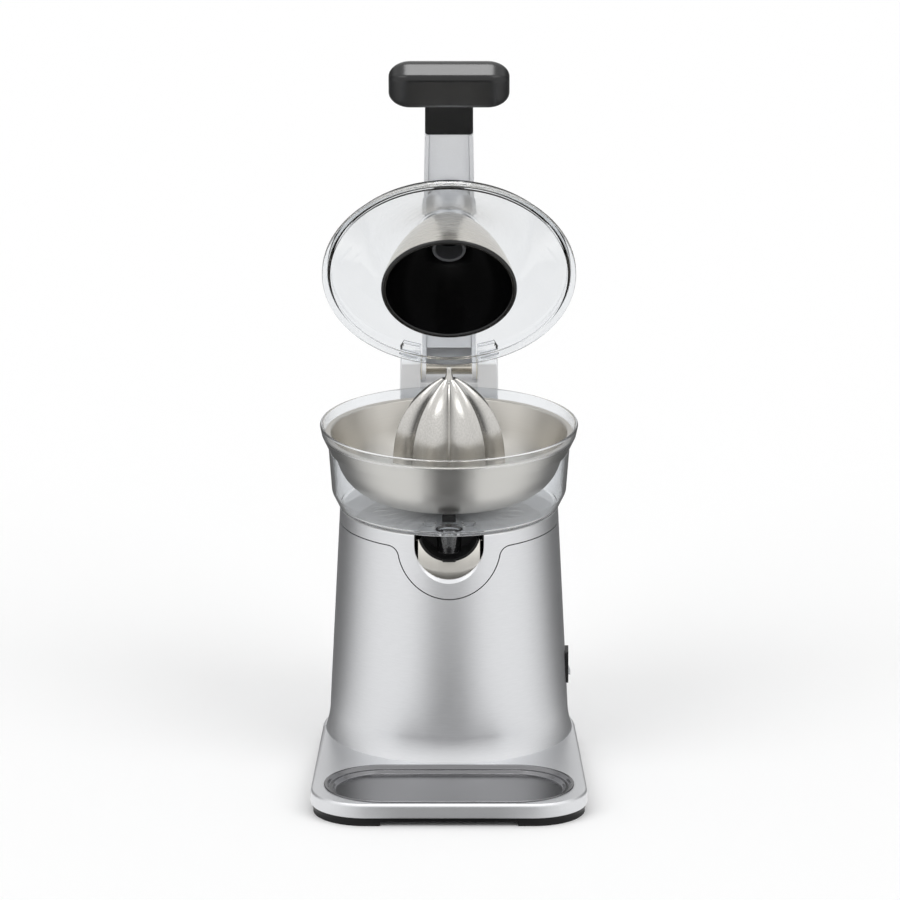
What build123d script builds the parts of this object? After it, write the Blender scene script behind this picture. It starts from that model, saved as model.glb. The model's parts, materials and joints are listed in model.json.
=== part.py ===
from build123d import *
import math
import os

# Citrus press juicer: motor stand, juice bowl, strainer and cone, under a hinged press lever.
# Millimetres, +Z up, -Y towards the user. The working frame has the cone's axis at x = 0, y = 0
# and the table at z = 0. Pieces are written out moved by axis_setback along Y, which puts the
# origin under the middle of the standing object.

# Frame
axis_setback = 12.6

# Clearances
seat_gap = 0.05
running_fit = 0.05
push_fit = 0.02
panel_gap = 0.5
wall_gap = 0.2
slide_gap = 0.4
overrun = 1.0

# Base plate, bottom cover and feet
foot_height = 3.5
foot_inset = 2.0
foot_band = 13.0
foot_width = 10.0
cover_thickness = 3.0
cover_inset = 1.5
base_height = 10.5
base_skin = 3.0
base_wall = 3.0
base_front = 188.0
base_corner_half = 103.4
base_corner_radius = 40.0
base_rear_radius = 93.0
base_edge_radius = 2.0
heel_half = 42.0
heel_back = 124.0
heel_corner_radius = 14.0
heel_blend_radius = 10.0
fan_window_radius = 44.0
grille_circle = 28.6
grille_length = 22.0
grille_width = 3.0
grille_count = 18
boss_radius = 4.5
screw_radius = 1.5
screw_head_radius = 3.0
screw_head_height = 1.5
bottom_screw_points = [(84.0, -74.0), (72.0, 44.0), (30.0, 108.0)]

# Drip tray
tray_length = 183.0
tray_width = 88.0
tray_front_margin = 5.0
tray_lip = 3.0
tray_depth = 5.0
tray_ledge_width = 3.5
tray_ledge_depth = 1.6
tray_sheet = 1.0

# Tapered body and its collar
body_height = 171.0
body_top_radius = 80.1
body_foot_radius = 87.3
body_flare = 3.4
flare_height = 20.0
body_wall = 3.0
collar_height = 10.0
collar_lip = 3.5
collar_lip_wall = 2.0
collar_edge_radius = 1.2
deck_thickness = 4.0
bib_radius = 37.5
bib_rise = 0.5
bib_corner_radius = 8.0
notch_half = 25.5
notch_edge = 2.6

# Tilting spout
spout_pivot_y = -30.0
spout_pivot_drop = 18.0
spout_sweep = 45.5
spout_sheet = 1.2
spout_half = 22.6
trough_radius = 23.5
trough_wall = 1.8
trough_rise = 3.0
trough_back = -50.0
skirt_reach = 28.0
spout_pin_radius = 1.5
lug_radius = 4.5
lug_inner = 16.0
lug_width = 3.0
liner_wall = 2.0
liner_depth = 50.0
liner_front = -75.0
liner_rear = -22.5
liner_step_depth = 26.0
liner_step_rear = -42.0
tab_half = 5.0
tab_length = 3.0
tab_height = 2.0

# Juice bowl
bowl_wall = 2.4
bowl_floor_radius = 80.0
bowl_heel_radius = 86.0
bowl_heel_rise = 12.0
bowl_side_radius = 88.6
bowl_side_rise = 45.0
bowl_rim_radius = 95.0
bowl_rim_wall = 2.2
bowl_rim_lean = 1.6
bowl_ledge_inset = 0.4
bowl_height = 62.6
bowl_ledge_drop = 7.6
bowl_corner_radius = 10.0
tower_bore = 7.0
tower_height = 24.0
nozzle_y = -64.0
nozzle_top_radius = 9.8
nozzle_mouth_radius = 8.5
nozzle_wall = 1.6
nozzle_length = 15.5
floor_boss_x = 14.4
floor_boss_y = -54.0
floor_boss_radius = 5.5
floor_boss_wall = 1.2
floor_boss_height = 0.8
gate_half = 5.0
gate_y = -51.0
gate_thickness = 4.0
gate_height = 5.0
gate_edge_radius = 1.0

# Strainer
strainer_sheet = 1.0
strainer_floor_rise = 8.0
strainer_floor_radius = 73.5
strainer_side_radius = 82.0
strainer_side_rise = 36.0
strainer_corner_radius = 36.0
strainer_hub_height = 17.0
strainer_hub_gap = 0.8
slot_count = 28
slot_inner = 26.0
slot_outer = 56.0
slot_width = 2.4
slot_cut = 3.0

# Fluted cone
reamer_rise = 16.0
reamer_radius = 41.5
reamer_height = 84.0
reamer_fullness = 3.8
rib_count = 9
flute_ratio = 0.82
reamer_levels = [0.0, 0.2, 0.4, 0.58, 0.74, 0.87, 0.96]
reamer_wall = 3.0
rib_foot_height = 9.0
rib_foot_width = 7.0
rib_foot_inset = 5.8
rib_foot_depth = 5.0
spike_height = 9.5
spike_radius = 2.2
spike_waist_rise = 3.3
reamer_hub_radius = 9.5
reamer_hub_gap = 5.0
reamer_hub_recess = 6.0
hollow_step = 28.0
hollow_lean = 1.0
hollow_top_radius = 18.6

# Press lever hinge
pivot_y = 102.0
pivot_rise = 74.6
open_angle = 62.0
pin_radius = 5.0
bush_wall = 1.5
washer_radius = 9.0
washer_thickness = 0.8
post_half = 36.0
post_front = 93.6
post_top_rise = 9.4
post_chamfer = 4.0
post_lean = 1.0
pin_recess = 0.6
web_front = 97.0
eye_radius = 9.0
eye_clearance = 1.2

# Hinge column
column_wall = 3.0
column_cover_thickness = 2.5
column_front = 70.0
column_setback = 2.0
column_side_inset = 1.0
column_top_radius = 12.0
column_shelf = 4.0
gland_radius = 6.0
gland_bore = 3.4
gland_flange = 1.5
gland_length = 5.5
gland_rise = 14.0

# Lever arm
arm_hinge_width = 40.0
arm_neck_width = 35.4
arm_wall = 3.0
arm_length = 165.0
arm_top = 95.0
arm_under = 76.0
arm_under_bend = 46.0
arm_top_bend = 27.0
arm_under_radius = 35.0
arm_top_radius = 50.0
panel_inset = 2.0
panel_thickness = 2.0
panel_start = 15.0

# Handle
neck_length = 31.0
neck_insert = 9.0
neck_drop = 2.5
neck_raise = 1.0
neck_edge_radius = 3.0
tongue_length = 26.0
tongue_clearance = 0.6
grip_width = 89.0
grip_depth = 36.0
grip_height = 25.0
grip_radius = 11.0
grip_drop = 1.5
handle_screw_x = 8.0
handle_screw_back = 13.0
handle_hole_end = 2.0

# Press dome and lid
boss_outer_radius = 16.5
spigot_radius = 12.0
dome_top_radius = 22.0
dome_mouth_radius = 50.0
dome_top_rise = 37.5
dome_shoulder_radius = 35.7
dome_shoulder_rise = 13.4
dome_mouth_drop = 20.4
dome_sheet = 1.2
dome_liner_wall = 2.3
dome_lip_radius = 1.9
hub_radius = 12.5
hub_bore = 10.0
hub_length = 14.0
stud_radius = 2.5
lid_sheet = 2.2
lid_neck_radius = 25.0
lid_shoulder_radius = 47.0
lid_shoulder_drop = 19.0
lid_shoulder_blend = 120.0
lid_radius = 93.5
lid_rim_drop = 37.0
lid_skirt = 9.0
lid_corner_radius = 3.0
clip_inner_angle = 14.0
clip_outer_angle = 25.0
clip_width = 8.0
clip_height = 1.2

# Motor
pillar_height = 7.0
pillar_circle = 56.0
pillar_radius = 5.0
mount_height = 5.0
bracket_thickness = 4.0
bracket_radius = 62.0
upper_bracket_radius = 52.0
stator_radius = 42.0
stator_bore = 22.2
winding_length = 10.0
winding_clearance = 3.0
rotor_radius = 21.8
rotor_shaft_radius = 4.0
motor_bearing_radius = 10.0
motor_bearing_width = 7.0
tie_circle = 47.0
tie_radius = 2.0
fan_radius = 38.0
fan_height = 9.0
fan_blades = 9
fan_plate = 1.5
fan_blade = 1.6
fan_clearance = 2.0

# Gear train: motor pinion, idler wheel and pinion, output gear
fine_module = 1.0
pinion_teeth = 12
wheel_teeth = 60
coarse_module = 1.2
idler_pinion_teeth = 15
output_teeth = 45
pressure_angle = 20.0
tooth_levels = [-1.25, -0.4, 0.3, 0.95]
backlash = 0.28
pinion_width = 10.0
wheel_width = 8.0
output_width = 10.0
gear_gap = 3.0
axle_radius = 3.0

# Gearbox, output hub and spindle
gearbox_wall = 3.0
gearbox_height = 48.0
gearbox_margin = 4.5
gearbox_front_room = 2.0
hub_outer_radius = 11.0
output_bearing_radius = 16.0
output_bearing_width = 6.0
drive_headroom = 27.0
neck_tube_wall = 3.0
neck_tube_depth = 14.0
hex_across = 10.0
shaft_radius = 5.0
shaft_grip = 48.0
spring_height = 12.0
spring_wire = 0.7
spring_turns = 6.0
press_travel = 2.5
trip_collar_radius = 14.0
trip_collar_height = 2.0
trip_collar_rise = 13.0
seal_radius = 13.0
seal_thickness = 4.0

# Trip switch under the spindle collar
trip_length = 20.0
trip_width = 10.0
trip_height = 11.0
trip_y = 21.0
trip_post = 4.0
lever_thickness = 0.6
lever_end = 9.0

# Side rocker switch
switch_rise = 48.0
bezel_margin = 1.8
bezel_proud = 2.0
bezel_wall = 1.2
bezel_depth = 14.0
window_half_width = 6.4
window_half_height = 9.0
rocker_clearance = 0.4
rocker_lean = 9.0
rocker_front = 6.5
rocker_dish = 1.6
rocker_half_height = 7.6
rocker_back = 4.0
rocker_setback = 4.0
rocker_pin_radius = 1.2

# Levels and places worked out from the sizes above
base_bottom = foot_height + cover_thickness
base_top = base_bottom + base_height
flare_top = base_top + flare_height
body_top = base_top + body_height
collar_seam = body_top - collar_height
deck_low = body_top - deck_thickness
tray_y = -(base_front - tray_front_margin - tray_width / 2)
spout_pivot_z = body_top - spout_pivot_drop
trough_axis_z = body_top + trough_rise
bowl_floor = body_top + bowl_wall
bowl_rim = body_top + bowl_height
bowl_ledge = bowl_rim - bowl_ledge_drop
ledge_inner = bowl_side_radius - bowl_ledge_inset
ledge_outer = bowl_rim_radius - bowl_rim_lean - bowl_rim_wall
tower_top = body_top + tower_height
tower_radius = tower_bore + bowl_wall
strainer_floor = body_top + strainer_floor_rise
reamer_base = body_top + reamer_rise
pivot_z = body_top + pivot_rise
post_top = pivot_z + post_top_rise
post_inner = arm_hinge_width / 2 + washer_thickness + 2 * seat_gap
dome_top = pivot_z + dome_top_rise
dome_mouth = pivot_z - dome_mouth_drop
lid_top = dome_top + lid_sheet
pillar_top = base_top + pillar_height
lower_bracket = pillar_top + mount_height
stator_low = lower_bracket + bracket_thickness + winding_clearance + winding_length
neck_top = deck_low - drive_headroom
cover_top = neck_top - output_bearing_width + gearbox_wall
gearbox_high = cover_top - gearbox_wall
gearbox_low = gearbox_high - gearbox_height
gearbox_floor = gearbox_low + gearbox_wall
pinion_low = gearbox_floor + gear_gap
output_low = pinion_low + pinion_width + gear_gap
upper_bracket = gearbox_low - bracket_thickness
stator_length = upper_bracket - winding_clearance - winding_length - stator_low
stator_high = stator_low + stator_length
hub_top = neck_top + panel_gap
idler_distance = fine_module * (pinion_teeth + wheel_teeth) / 2
wheel_low = pinion_low + (pinion_width - wheel_width) / 2
idler_top = output_low + output_width + gear_gap
spring_floor = output_low + gear_gap
shaft_low = spring_floor + spring_height
shaft_high = reamer_base + reamer_hub_gap + shaft_grip
trip_collar_low = hub_top + trip_collar_rise
switch_z = base_top + switch_rise
column_back = heel_back - column_setback
pocket_half = post_half - column_wall - post_lean
pocket_low = base_top + column_wall
pocket_high = pivot_z - eye_radius - eye_clearance - column_wall - column_shelf
barrel_half_width = window_half_width + bezel_wall
barrel_half_height = window_half_height + bezel_wall


def disc(radius, low, high, at=(0, 0)):
    """Upright cylinder between two levels."""
    return Pos(at[0], at[1], low) * extrude(Circle(radius), high - low)


def ring(outer, inner, low, high, at=(0, 0)):
    """Upright tube between two levels."""
    return Pos(at[0], at[1], low) * extrude(Circle(outer) - Circle(inner), high - low)


def block(x, y, z):
    """Box between pairs of limits."""
    sizes = [limits[1] - limits[0] for limits in (x, y, z)]
    middle = [(limits[1] + limits[0]) / 2 for limits in (x, y, z)]
    return Pos(*middle) * Box(*sizes)


def cross_rod(radius, low_x, high_x, y, z):
    """Cylinder lying along X."""
    return Pos((low_x + high_x) / 2, y, z) * Rot(0, 90, 0) * Cylinder(radius, high_x - low_x)


def turned(points):
    """Solid turned about the cone's axis from a closed (radius, level) outline."""
    return revolve(Plane.XZ * make_face(Polyline(*points, close=True)), Axis.Z)


def rounded(outline, corners):
    """Outline with the corner nearest each (x, y) point rounded to the radius given with it."""
    for x, y, radius in corners:
        outline = fillet(outline.vertices().sort_by_distance((x, y, 0))[0], radius)
    return outline


def side_prism(outline, half_width):
    """Outline drawn in (y, z), given a width along X about the middle plane."""
    return extrude(Plane.YZ * outline, half_width, both=True)


def mirrored_pair(shape):
    """A piece and its mirror image across the middle plane."""
    return shape + mirror(shape, Plane.YZ)


def screw(at, low, length, up=1):
    """Pan-head screw whose head starts at a level and whose shank runs on from it."""
    head = disc(screw_head_radius, low, low + screw_head_height, at)
    shank = disc(screw_radius, low + screw_head_height, low + screw_head_height + length, at)
    if up > 0:
        return head + shank
    return Pos(0, 0, 2 * low) * mirror(head + shank, Plane.XY)


def base_outline(inset):
    """Plan of the base: straight front, tangent sides, round rear and a heel under the column."""
    radius = base_rear_radius - inset
    x = base_corner_half - inset
    y = -base_front + inset
    reach = math.hypot(x, y)
    along = radius**2 / reach**2
    across = radius * math.sqrt(reach**2 - radius**2) / reach**2
    side = (along * x - across * y, along * y + across * x)
    front = make_face(Polyline((-x, y), (x, y), side, (-side[0], side[1]), close=True))
    front = fillet(front.vertices().sort_by(Axis.Y)[:2], base_corner_radius - inset)
    back = heel_back - inset
    half = heel_half - inset
    heel = Pos(0, back / 2) * Rectangle(2 * half, back)
    heel = fillet(heel.vertices().sort_by(Axis.Y)[-2:], heel_corner_radius - inset)
    plan = front + Circle(radius) + heel
    blend_y = math.sqrt(radius**2 - half**2)
    blend = heel_blend_radius + inset
    return rounded(plan, [(half, blend_y, blend), (-half, blend_y, blend)])


def tray_outline(inset):
    """Plan of the drip tray, drawn in by an inset."""
    return Pos(0, tray_y) * SlotOverall(tray_length - 2 * inset, tray_width - 2 * inset)


def bottom_screw_places():
    """The screw points on both sides of the middle plane."""
    return [(side * x, y) for x, y in bottom_screw_points for side in (-1, 1)]


def pillar_places():
    """Four points on the pillar circle, on the diagonals."""
    step = pillar_circle / math.sqrt(2)
    return [(a * step, b * step) for a in (-1, 1) for b in (-1, 1)]


def base_plate():
    """Silver base: a skin with a rim wall, a well for the tray, motor pillars and screw bosses."""
    plate = Pos(0, 0, base_bottom) * extrude(base_outline(0), base_height)
    plate = fillet(plate.faces().sort_by(Axis.Z)[-1].edges(), base_edge_radius)
    skin_low = base_top - base_skin
    plate -= Pos(0, 0, base_bottom) * extrude(base_outline(base_wall), base_height - base_skin)
    plate -= disc(fan_window_radius, skin_low, base_top)
    pocket_inset = tray_lip - slide_gap
    pocket_low = base_top - tray_depth - slide_gap
    well = Pos(0, 0, pocket_low - tray_sheet) * extrude(tray_outline(pocket_inset - base_wall / 2),
                                                        skin_low - pocket_low + tray_sheet)
    plate += well
    plate -= Pos(0, 0, pocket_low) * extrude(tray_outline(pocket_inset), tray_depth + base_height)
    for place in pillar_places():
        plate += ring(pillar_radius, screw_radius, skin_low, pillar_top, place)
    for place in bottom_screw_places():
        plate += disc(boss_radius, base_bottom, skin_low, place)
        plate -= disc(screw_radius + push_fit, base_bottom, skin_low, place)
    return plate


def bottom_cover():
    """Black underside plate with an air grille and recessed screw heads."""
    cover = Pos(0, 0, foot_height) * extrude(base_outline(cover_inset), cover_thickness)
    slot = SlotOverall(grille_length, grille_width)
    grille = PolarLocations(grille_circle, grille_count) * slot
    cover -= Pos(0, 0, foot_height) * extrude(Sketch() + grille, cover_thickness)
    for place in bottom_screw_places():
        cover -= disc(screw_radius + push_fit, foot_height, base_bottom, place)
        cover -= disc(screw_head_radius + wall_gap, foot_height, foot_height + screw_head_height, place)
    return cover


def rubber_feet():
    """Corner pads that follow the outline of the base."""
    band = base_outline(foot_inset) - base_outline(foot_inset + foot_width)
    pads = extrude(band, foot_height)
    front_line = -base_front + base_corner_radius + foot_band
    front_half = base_corner_half - base_corner_radius - foot_band
    rear_half = heel_half / 3
    front = block((front_half, 2 * heel_back), (-2 * base_front, front_line), (0, foot_height))
    rear_line = heel_back - 2 * foot_band
    rear = block((rear_half, 2 * heel_back), (rear_line, 2 * heel_back), (0, foot_height))
    return pads & mirrored_pair(front + rear)


def bottom_screws():
    """Screws that hold the bottom cover to the base."""
    length = base_bottom + base_height - base_skin - foot_height - screw_head_height - overrun
    group = [screw(place, foot_height, length) for place in bottom_screw_places()]
    return Part() + group


def drip_tray():
    """Pressed steel tray with a stepped lip that rests on the base."""
    lip_low = base_top + seat_gap
    ledge = base_top - tray_ledge_depth
    bottom = base_top - tray_depth
    floor_inset = tray_lip + tray_ledge_width
    tray = Pos(0, 0, lip_low) * extrude(tray_outline(0), tray_sheet)
    tray += Pos(0, 0, ledge - tray_sheet) * extrude(tray_outline(tray_lip), lip_low - ledge + 2 * tray_sheet)
    tray += Pos(0, 0, bottom) * extrude(tray_outline(floor_inset), tray_depth - tray_ledge_depth)
    tray -= Pos(0, 0, ledge) * extrude(tray_outline(tray_lip + tray_sheet), tray_depth)
    tray -= Pos(0, 0, bottom + tray_sheet) * extrude(tray_outline(floor_inset + tray_sheet), tray_depth)
    step = tray_outline(tray_lip / 2)
    tray -= Pos(0, 0, lip_low + tray_sheet / 2) * extrude(step, tray_sheet)
    return tray


def body_radius(level):
    """Outer radius of the tapered body at a level."""
    slope = (body_top_radius - body_foot_radius) / (body_top - flare_top)
    return body_foot_radius + slope * (level - flare_top)


def tapered_ring(outer_inset, inner_inset, low, high):
    """Ring between two insets from the tapered outer surface."""
    return turned([
        (body_radius(low) - outer_inset, low),
        (body_radius(high) - outer_inset, high),
        (body_radius(high) - inner_inset, high),
        (body_radius(low) - inner_inset, low),
    ])


def collar_region(grow):
    """Everything above the collar's seam, with the round bib that dips below it at the front."""
    seam = collar_seam - grow
    reach = 2 * body_foot_radius
    upper = Pos(0, seam + collar_height) * Rectangle(reach, 2 * collar_height)
    radius = bib_radius + grow
    bib_z = collar_seam + bib_rise
    zone = upper + Pos(0, bib_z) * Circle(radius)
    corner_x = math.sqrt(radius**2 - (bib_z - seam) ** 2)
    blend = bib_corner_radius - grow
    zone = rounded(zone, [(corner_x, seam, blend), (-corner_x, seam, blend)])
    front = extrude(Plane.XZ * zone, reach)
    rest = block((-reach, reach), (0, reach), (seam, seam + 2 * collar_height))
    return front + rest


def notch_outline(half):
    """Upright U of the spout's notch, drawn in (x, z)."""
    bottom = Pos(0, collar_seam) * Circle(half)
    above = Pos(0, collar_seam + collar_height) * Rectangle(2 * half, 2 * collar_height)
    return bottom + above


def main_body():
    """Tapered silver shell with a small flare at its foot."""
    top = collar_seam + overrun
    foot = body_foot_radius + body_flare
    flare = TangentArc((body_foot_radius, flare_top), (foot, base_top),
                       tangent=(body_foot_radius - body_top_radius, flare_top - body_top))
    rest = Polyline((body_foot_radius, flare_top), (body_radius(top), top),
                    (body_radius(top) - body_wall, top),
                    (body_radius(base_top) - body_wall, base_top), (foot, base_top))
    shell = revolve(Plane.XZ * make_face(flare.edges() + rest.edges()), Axis.Z)
    shell -= collar_region(panel_gap)
    half = barrel_half_width + wall_gap
    rise = barrel_half_height + wall_gap
    return shell - block((0, 2 * body_foot_radius), (-half, half), (switch_z - rise, switch_z + rise))


def top_collar():
    """Collar that closes the body: deck, bib with the spout's notch, and a lip inside the body."""
    low = collar_seam + bib_rise - bib_radius - collar_lip - overrun
    inner = body_wall + wall_gap + collar_lip_wall
    rim = body_radius(body_top)
    outline = make_face(Polyline((body_radius(low), low), (rim, body_top), (rim - inner, body_top),
                                 (body_radius(low) - inner, low), close=True))
    outline = rounded(outline, [(rim, body_top, collar_edge_radius)])
    collar = revolve(Plane.XZ * outline, Axis.Z) & collar_region(0)
    collar += tapered_ring(body_wall + wall_gap, inner, low, body_top) & collar_region(collar_lip)
    collar += disc(body_radius(deck_low) - body_wall, deck_low, body_top)
    reach = 2 * body_foot_radius
    notch = extrude(Plane.XZ * notch_outline(notch_half), reach)
    collar -= notch & block((-reach, reach), (-reach, trough_back + liner_wall), (0, body_top + overrun))
    bevel_start = body_radius(collar_seam - notch_half) - notch_edge
    bevel = Plane.XZ.offset(bevel_start) * notch_outline(notch_half)
    collar -= extrude(bevel, 2 * notch_edge, taper=-45)
    half = spout_half + slide_gap
    sweep_room = cross_rod(spout_sweep + slide_gap, -half, half, spout_pivot_y, spout_pivot_z)
    collar -= sweep_room & block((-half, half), (-reach, trough_back), (0, deck_low))
    return collar - disc(seal_radius + push_fit, deck_low, body_top)


def liner_profile(inset, front):
    """Side outline of the spout's chamber, in (y, z)."""
    rear = liner_rear - inset
    step_rear = liner_step_rear - inset
    bottom = deck_low - liner_depth + inset
    step = deck_low - liner_step_depth + inset
    return make_face(Polyline((front, deck_low), (rear, deck_low), (rear, step), (step_rear, step),
                              (step_rear, bottom), (front, bottom), close=True))


def spout_liner():
    """Black chamber behind the bib in which the spout tilts."""
    half = notch_half + liner_wall
    chamber = side_prism(liner_profile(0, liner_front), half)
    chamber -= side_prism(liner_profile(liner_wall, 2 * liner_front), notch_half - wall_gap)
    inside = body_wall + 2 * wall_gap + collar_lip_wall
    low = deck_low - liner_depth - overrun
    core = turned([(0, low), (body_radius(low) - inside, low),
                   (body_radius(deck_low) - inside, deck_low), (0, deck_low)])
    chamber &= core
    rim_outer = notch_half - wall_gap
    rim_inner = rim_outer - liner_wall / 2
    rim_back = trough_back + liner_wall - wall_gap
    front = liner_front + 2 * liner_wall
    rim = block((-rim_outer, rim_outer), (front, rim_back), (deck_low, body_top - wall_gap))
    rim -= block((-rim_inner, rim_inner), (2 * liner_front, rim_back - liner_wall / 2),
                 (deck_low, body_top))
    shelf = block((-half, half), (front, rim_back), (deck_low - liner_wall, deck_low))
    shelf -= block((-rim_inner, rim_inner), (2 * liner_front, rim_back - liner_wall / 2),
                   (0, body_top))
    chamber += rim + (shelf & core)
    return chamber - cross_rod(spout_pin_radius + push_fit, -half, half, spout_pivot_y, spout_pivot_z)


def spout_pin():
    """Steel pin that the spout tilts on."""
    half = notch_half + liner_wall
    return cross_rod(spout_pin_radius, -half, half, spout_pivot_y, spout_pivot_z)


def trough_round(radius, front, back):
    """Lower part of a cylinder along Y about the trough's axis."""
    length = back - front
    rod = Pos(0, (front + back) / 2, trough_axis_z) * Rot(90, 0, 0) * Cylinder(radius, length)
    return rod & block((-radius, radius), (front, back), (0, deck_low - wall_gap))


def spout_trough():
    """Black half-round trough with a back wall, two pivot lugs and a finger tab on its lip."""
    front = spout_pivot_y - spout_sweep - overrun
    trough = trough_round(trough_radius, front, trough_back)
    trough -= trough_round(trough_radius - trough_wall, front, trough_back - trough_wall)
    trough &= cross_rod(spout_sweep, -spout_half, spout_half, spout_pivot_y, spout_pivot_z)
    lip_z = trough_axis_z - trough_radius
    lip_y = spout_pivot_y - math.sqrt(spout_sweep**2 - (spout_pivot_z - lip_z) ** 2)
    tab = block((-tab_half, tab_half), (lip_y - tab_length, lip_y + trough_wall),
                (lip_z + trough_wall / 3, lip_z + trough_wall / 3 + tab_height))
    tab = fillet(tab.edges().filter_by(Axis.Z).sort_by(Axis.Y)[:2], tab_length / 2)
    bar = Polyline((trough_back - trough_wall, spout_pivot_z - lug_radius),
                   (spout_pivot_y, spout_pivot_z - lug_radius),
                   (spout_pivot_y, spout_pivot_z + lug_radius),
                   (trough_back - trough_wall, spout_pivot_z + lug_radius), close=True)
    lug = extrude(Plane.YZ * make_face(bar), lug_width)
    lug += cross_rod(lug_radius, 0, lug_width, spout_pivot_y, spout_pivot_z)
    lug -= cross_rod(spout_pin_radius + running_fit, 0, lug_width, spout_pivot_y, spout_pivot_z)
    return trough + tab + mirrored_pair(Pos(lug_inner - lug_width / 2, 0, 0) * lug)


def spout_skirt():
    """Brushed steel apron under the trough's lip, curved about the spout's pivot."""
    shell = cross_rod(spout_sweep, -spout_half, spout_half, spout_pivot_y, spout_pivot_z)
    shell -= cross_rod(spout_sweep - spout_sheet, -spout_half, spout_half, spout_pivot_y, spout_pivot_z)
    low = spout_pivot_z - spout_sweep * math.sin(math.radians(skirt_reach))
    shell &= block((-spout_half, spout_half), (-2 * base_front, spout_pivot_y), (low, deck_low - wall_gap))
    front = spout_pivot_y - spout_sweep - overrun
    cut = Pos(0, front, trough_axis_z) * Rot(90, 0, 0) * Cylinder(trough_radius, 2 * spout_sweep)
    return shell - cut


def juice_bowl():
    """Clear bowl with a centre tower, a strainer ledge and a nozzle over the spout."""
    side_top = body_top + bowl_side_rise
    heel_top = body_top + bowl_heel_rise
    outline = make_face(Polyline(
        (tower_bore, tower_top), (tower_bore, body_top), (bowl_floor_radius, body_top),
        (bowl_heel_radius, heel_top), (bowl_side_radius, side_top),
        (bowl_rim_radius - bowl_rim_lean, bowl_ledge), (bowl_rim_radius, bowl_rim),
        (bowl_rim_radius - bowl_rim_wall, bowl_rim), (ledge_outer, bowl_ledge), (ledge_inner, bowl_ledge),
        (bowl_side_radius - bowl_wall, side_top), (bowl_heel_radius - bowl_wall, heel_top),
        (bowl_floor_radius - bowl_wall / 2, bowl_floor), (tower_radius, bowl_floor),
        (tower_radius, tower_top), close=True))
    outline = rounded(outline, [
        (bowl_heel_radius, heel_top, bowl_corner_radius),
        (bowl_heel_radius - bowl_wall, heel_top, bowl_corner_radius - bowl_wall),
        (bowl_floor_radius, body_top, bowl_wall),
    ])
    bowl = revolve(Plane.XZ * outline, Axis.Z)
    mouth = body_top - nozzle_length
    nozzle = loft([Pos(0, nozzle_y, mouth) * Circle(nozzle_mouth_radius),
                   Pos(0, nozzle_y, body_top) * Circle(nozzle_top_radius)])
    bore = loft([Pos(0, nozzle_y, mouth) * Circle(nozzle_mouth_radius - nozzle_wall),
                 Pos(0, nozzle_y, bowl_floor) * Circle(nozzle_top_radius - nozzle_wall)])
    bowl = bowl + nozzle - bore
    for side in (-1, 1):
        place = (side * floor_boss_x, floor_boss_y)
        bowl += ring(floor_boss_radius, floor_boss_radius - floor_boss_wall, bowl_floor,
                     bowl_floor + floor_boss_height, place)
    return bowl


def outlet_gate():
    """Silicone stop on the bowl's floor behind the nozzle."""
    gate = block((-gate_half, gate_half), (gate_y, gate_y + gate_thickness),
                 (bowl_floor, bowl_floor + gate_height))
    return fillet(gate.edges().filter_by(Axis.Z), gate_edge_radius)


def strainer():
    """Steel strainer with radial juice slots and a hub over the bowl's tower."""
    hub = tower_radius + strainer_hub_gap
    side = body_top + strainer_side_rise
    rim_in = ledge_inner - wall_gap
    rim_out = ledge_outer - wall_gap
    sheet = strainer_sheet
    hub_top = strainer_floor + strainer_hub_height
    outline = make_face(Polyline(
        (hub, hub_top), (hub, strainer_floor), (strainer_floor_radius, strainer_floor),
        (strainer_side_radius, side), (rim_in, bowl_ledge), (rim_out, bowl_ledge),
        (rim_out, bowl_ledge + sheet), (rim_in - sheet, bowl_ledge + sheet),
        (strainer_side_radius - sheet, side), (strainer_floor_radius - sheet, strainer_floor + sheet),
        (hub + sheet, strainer_floor + sheet), (hub + sheet, hub_top), close=True))
    outline = rounded(outline, [
        (strainer_floor_radius, strainer_floor, strainer_corner_radius),
        (strainer_floor_radius - sheet, strainer_floor + sheet, strainer_corner_radius - sheet),
    ])
    pan = revolve(Plane.XZ * outline, Axis.Z)
    slots = PolarLocations((slot_inner + slot_outer) / 2, slot_count) * SlotOverall(
        slot_outer - slot_inner, slot_width)
    return pan - Pos(0, 0, strainer_floor) * extrude(Sketch() + slots, slot_cut)


def crest_radius(share):
    """Radius of the rib crests at a share of the cone's height."""
    return reamer_radius * (1 - share**reamer_fullness)


def flute_section(share):
    """Star of concave flutes between sharp ribs, one rib facing the user."""
    crest = crest_radius(share)
    valley = crest * flute_ratio
    pitch = 2 * math.pi / rib_count
    arcs = []
    for index in range(rib_count):
        turns = [-math.pi / 2 + pitch * (index + part) for part in (0, 0.5, 1)]
        radii = (crest, valley, crest)
        arcs.append(ThreePointArc(*[(r * math.cos(a), r * math.sin(a)) for r, a in zip(radii, turns)]))
    return Pos(0, 0, reamer_base + share * reamer_height) * make_face(arcs)


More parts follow.
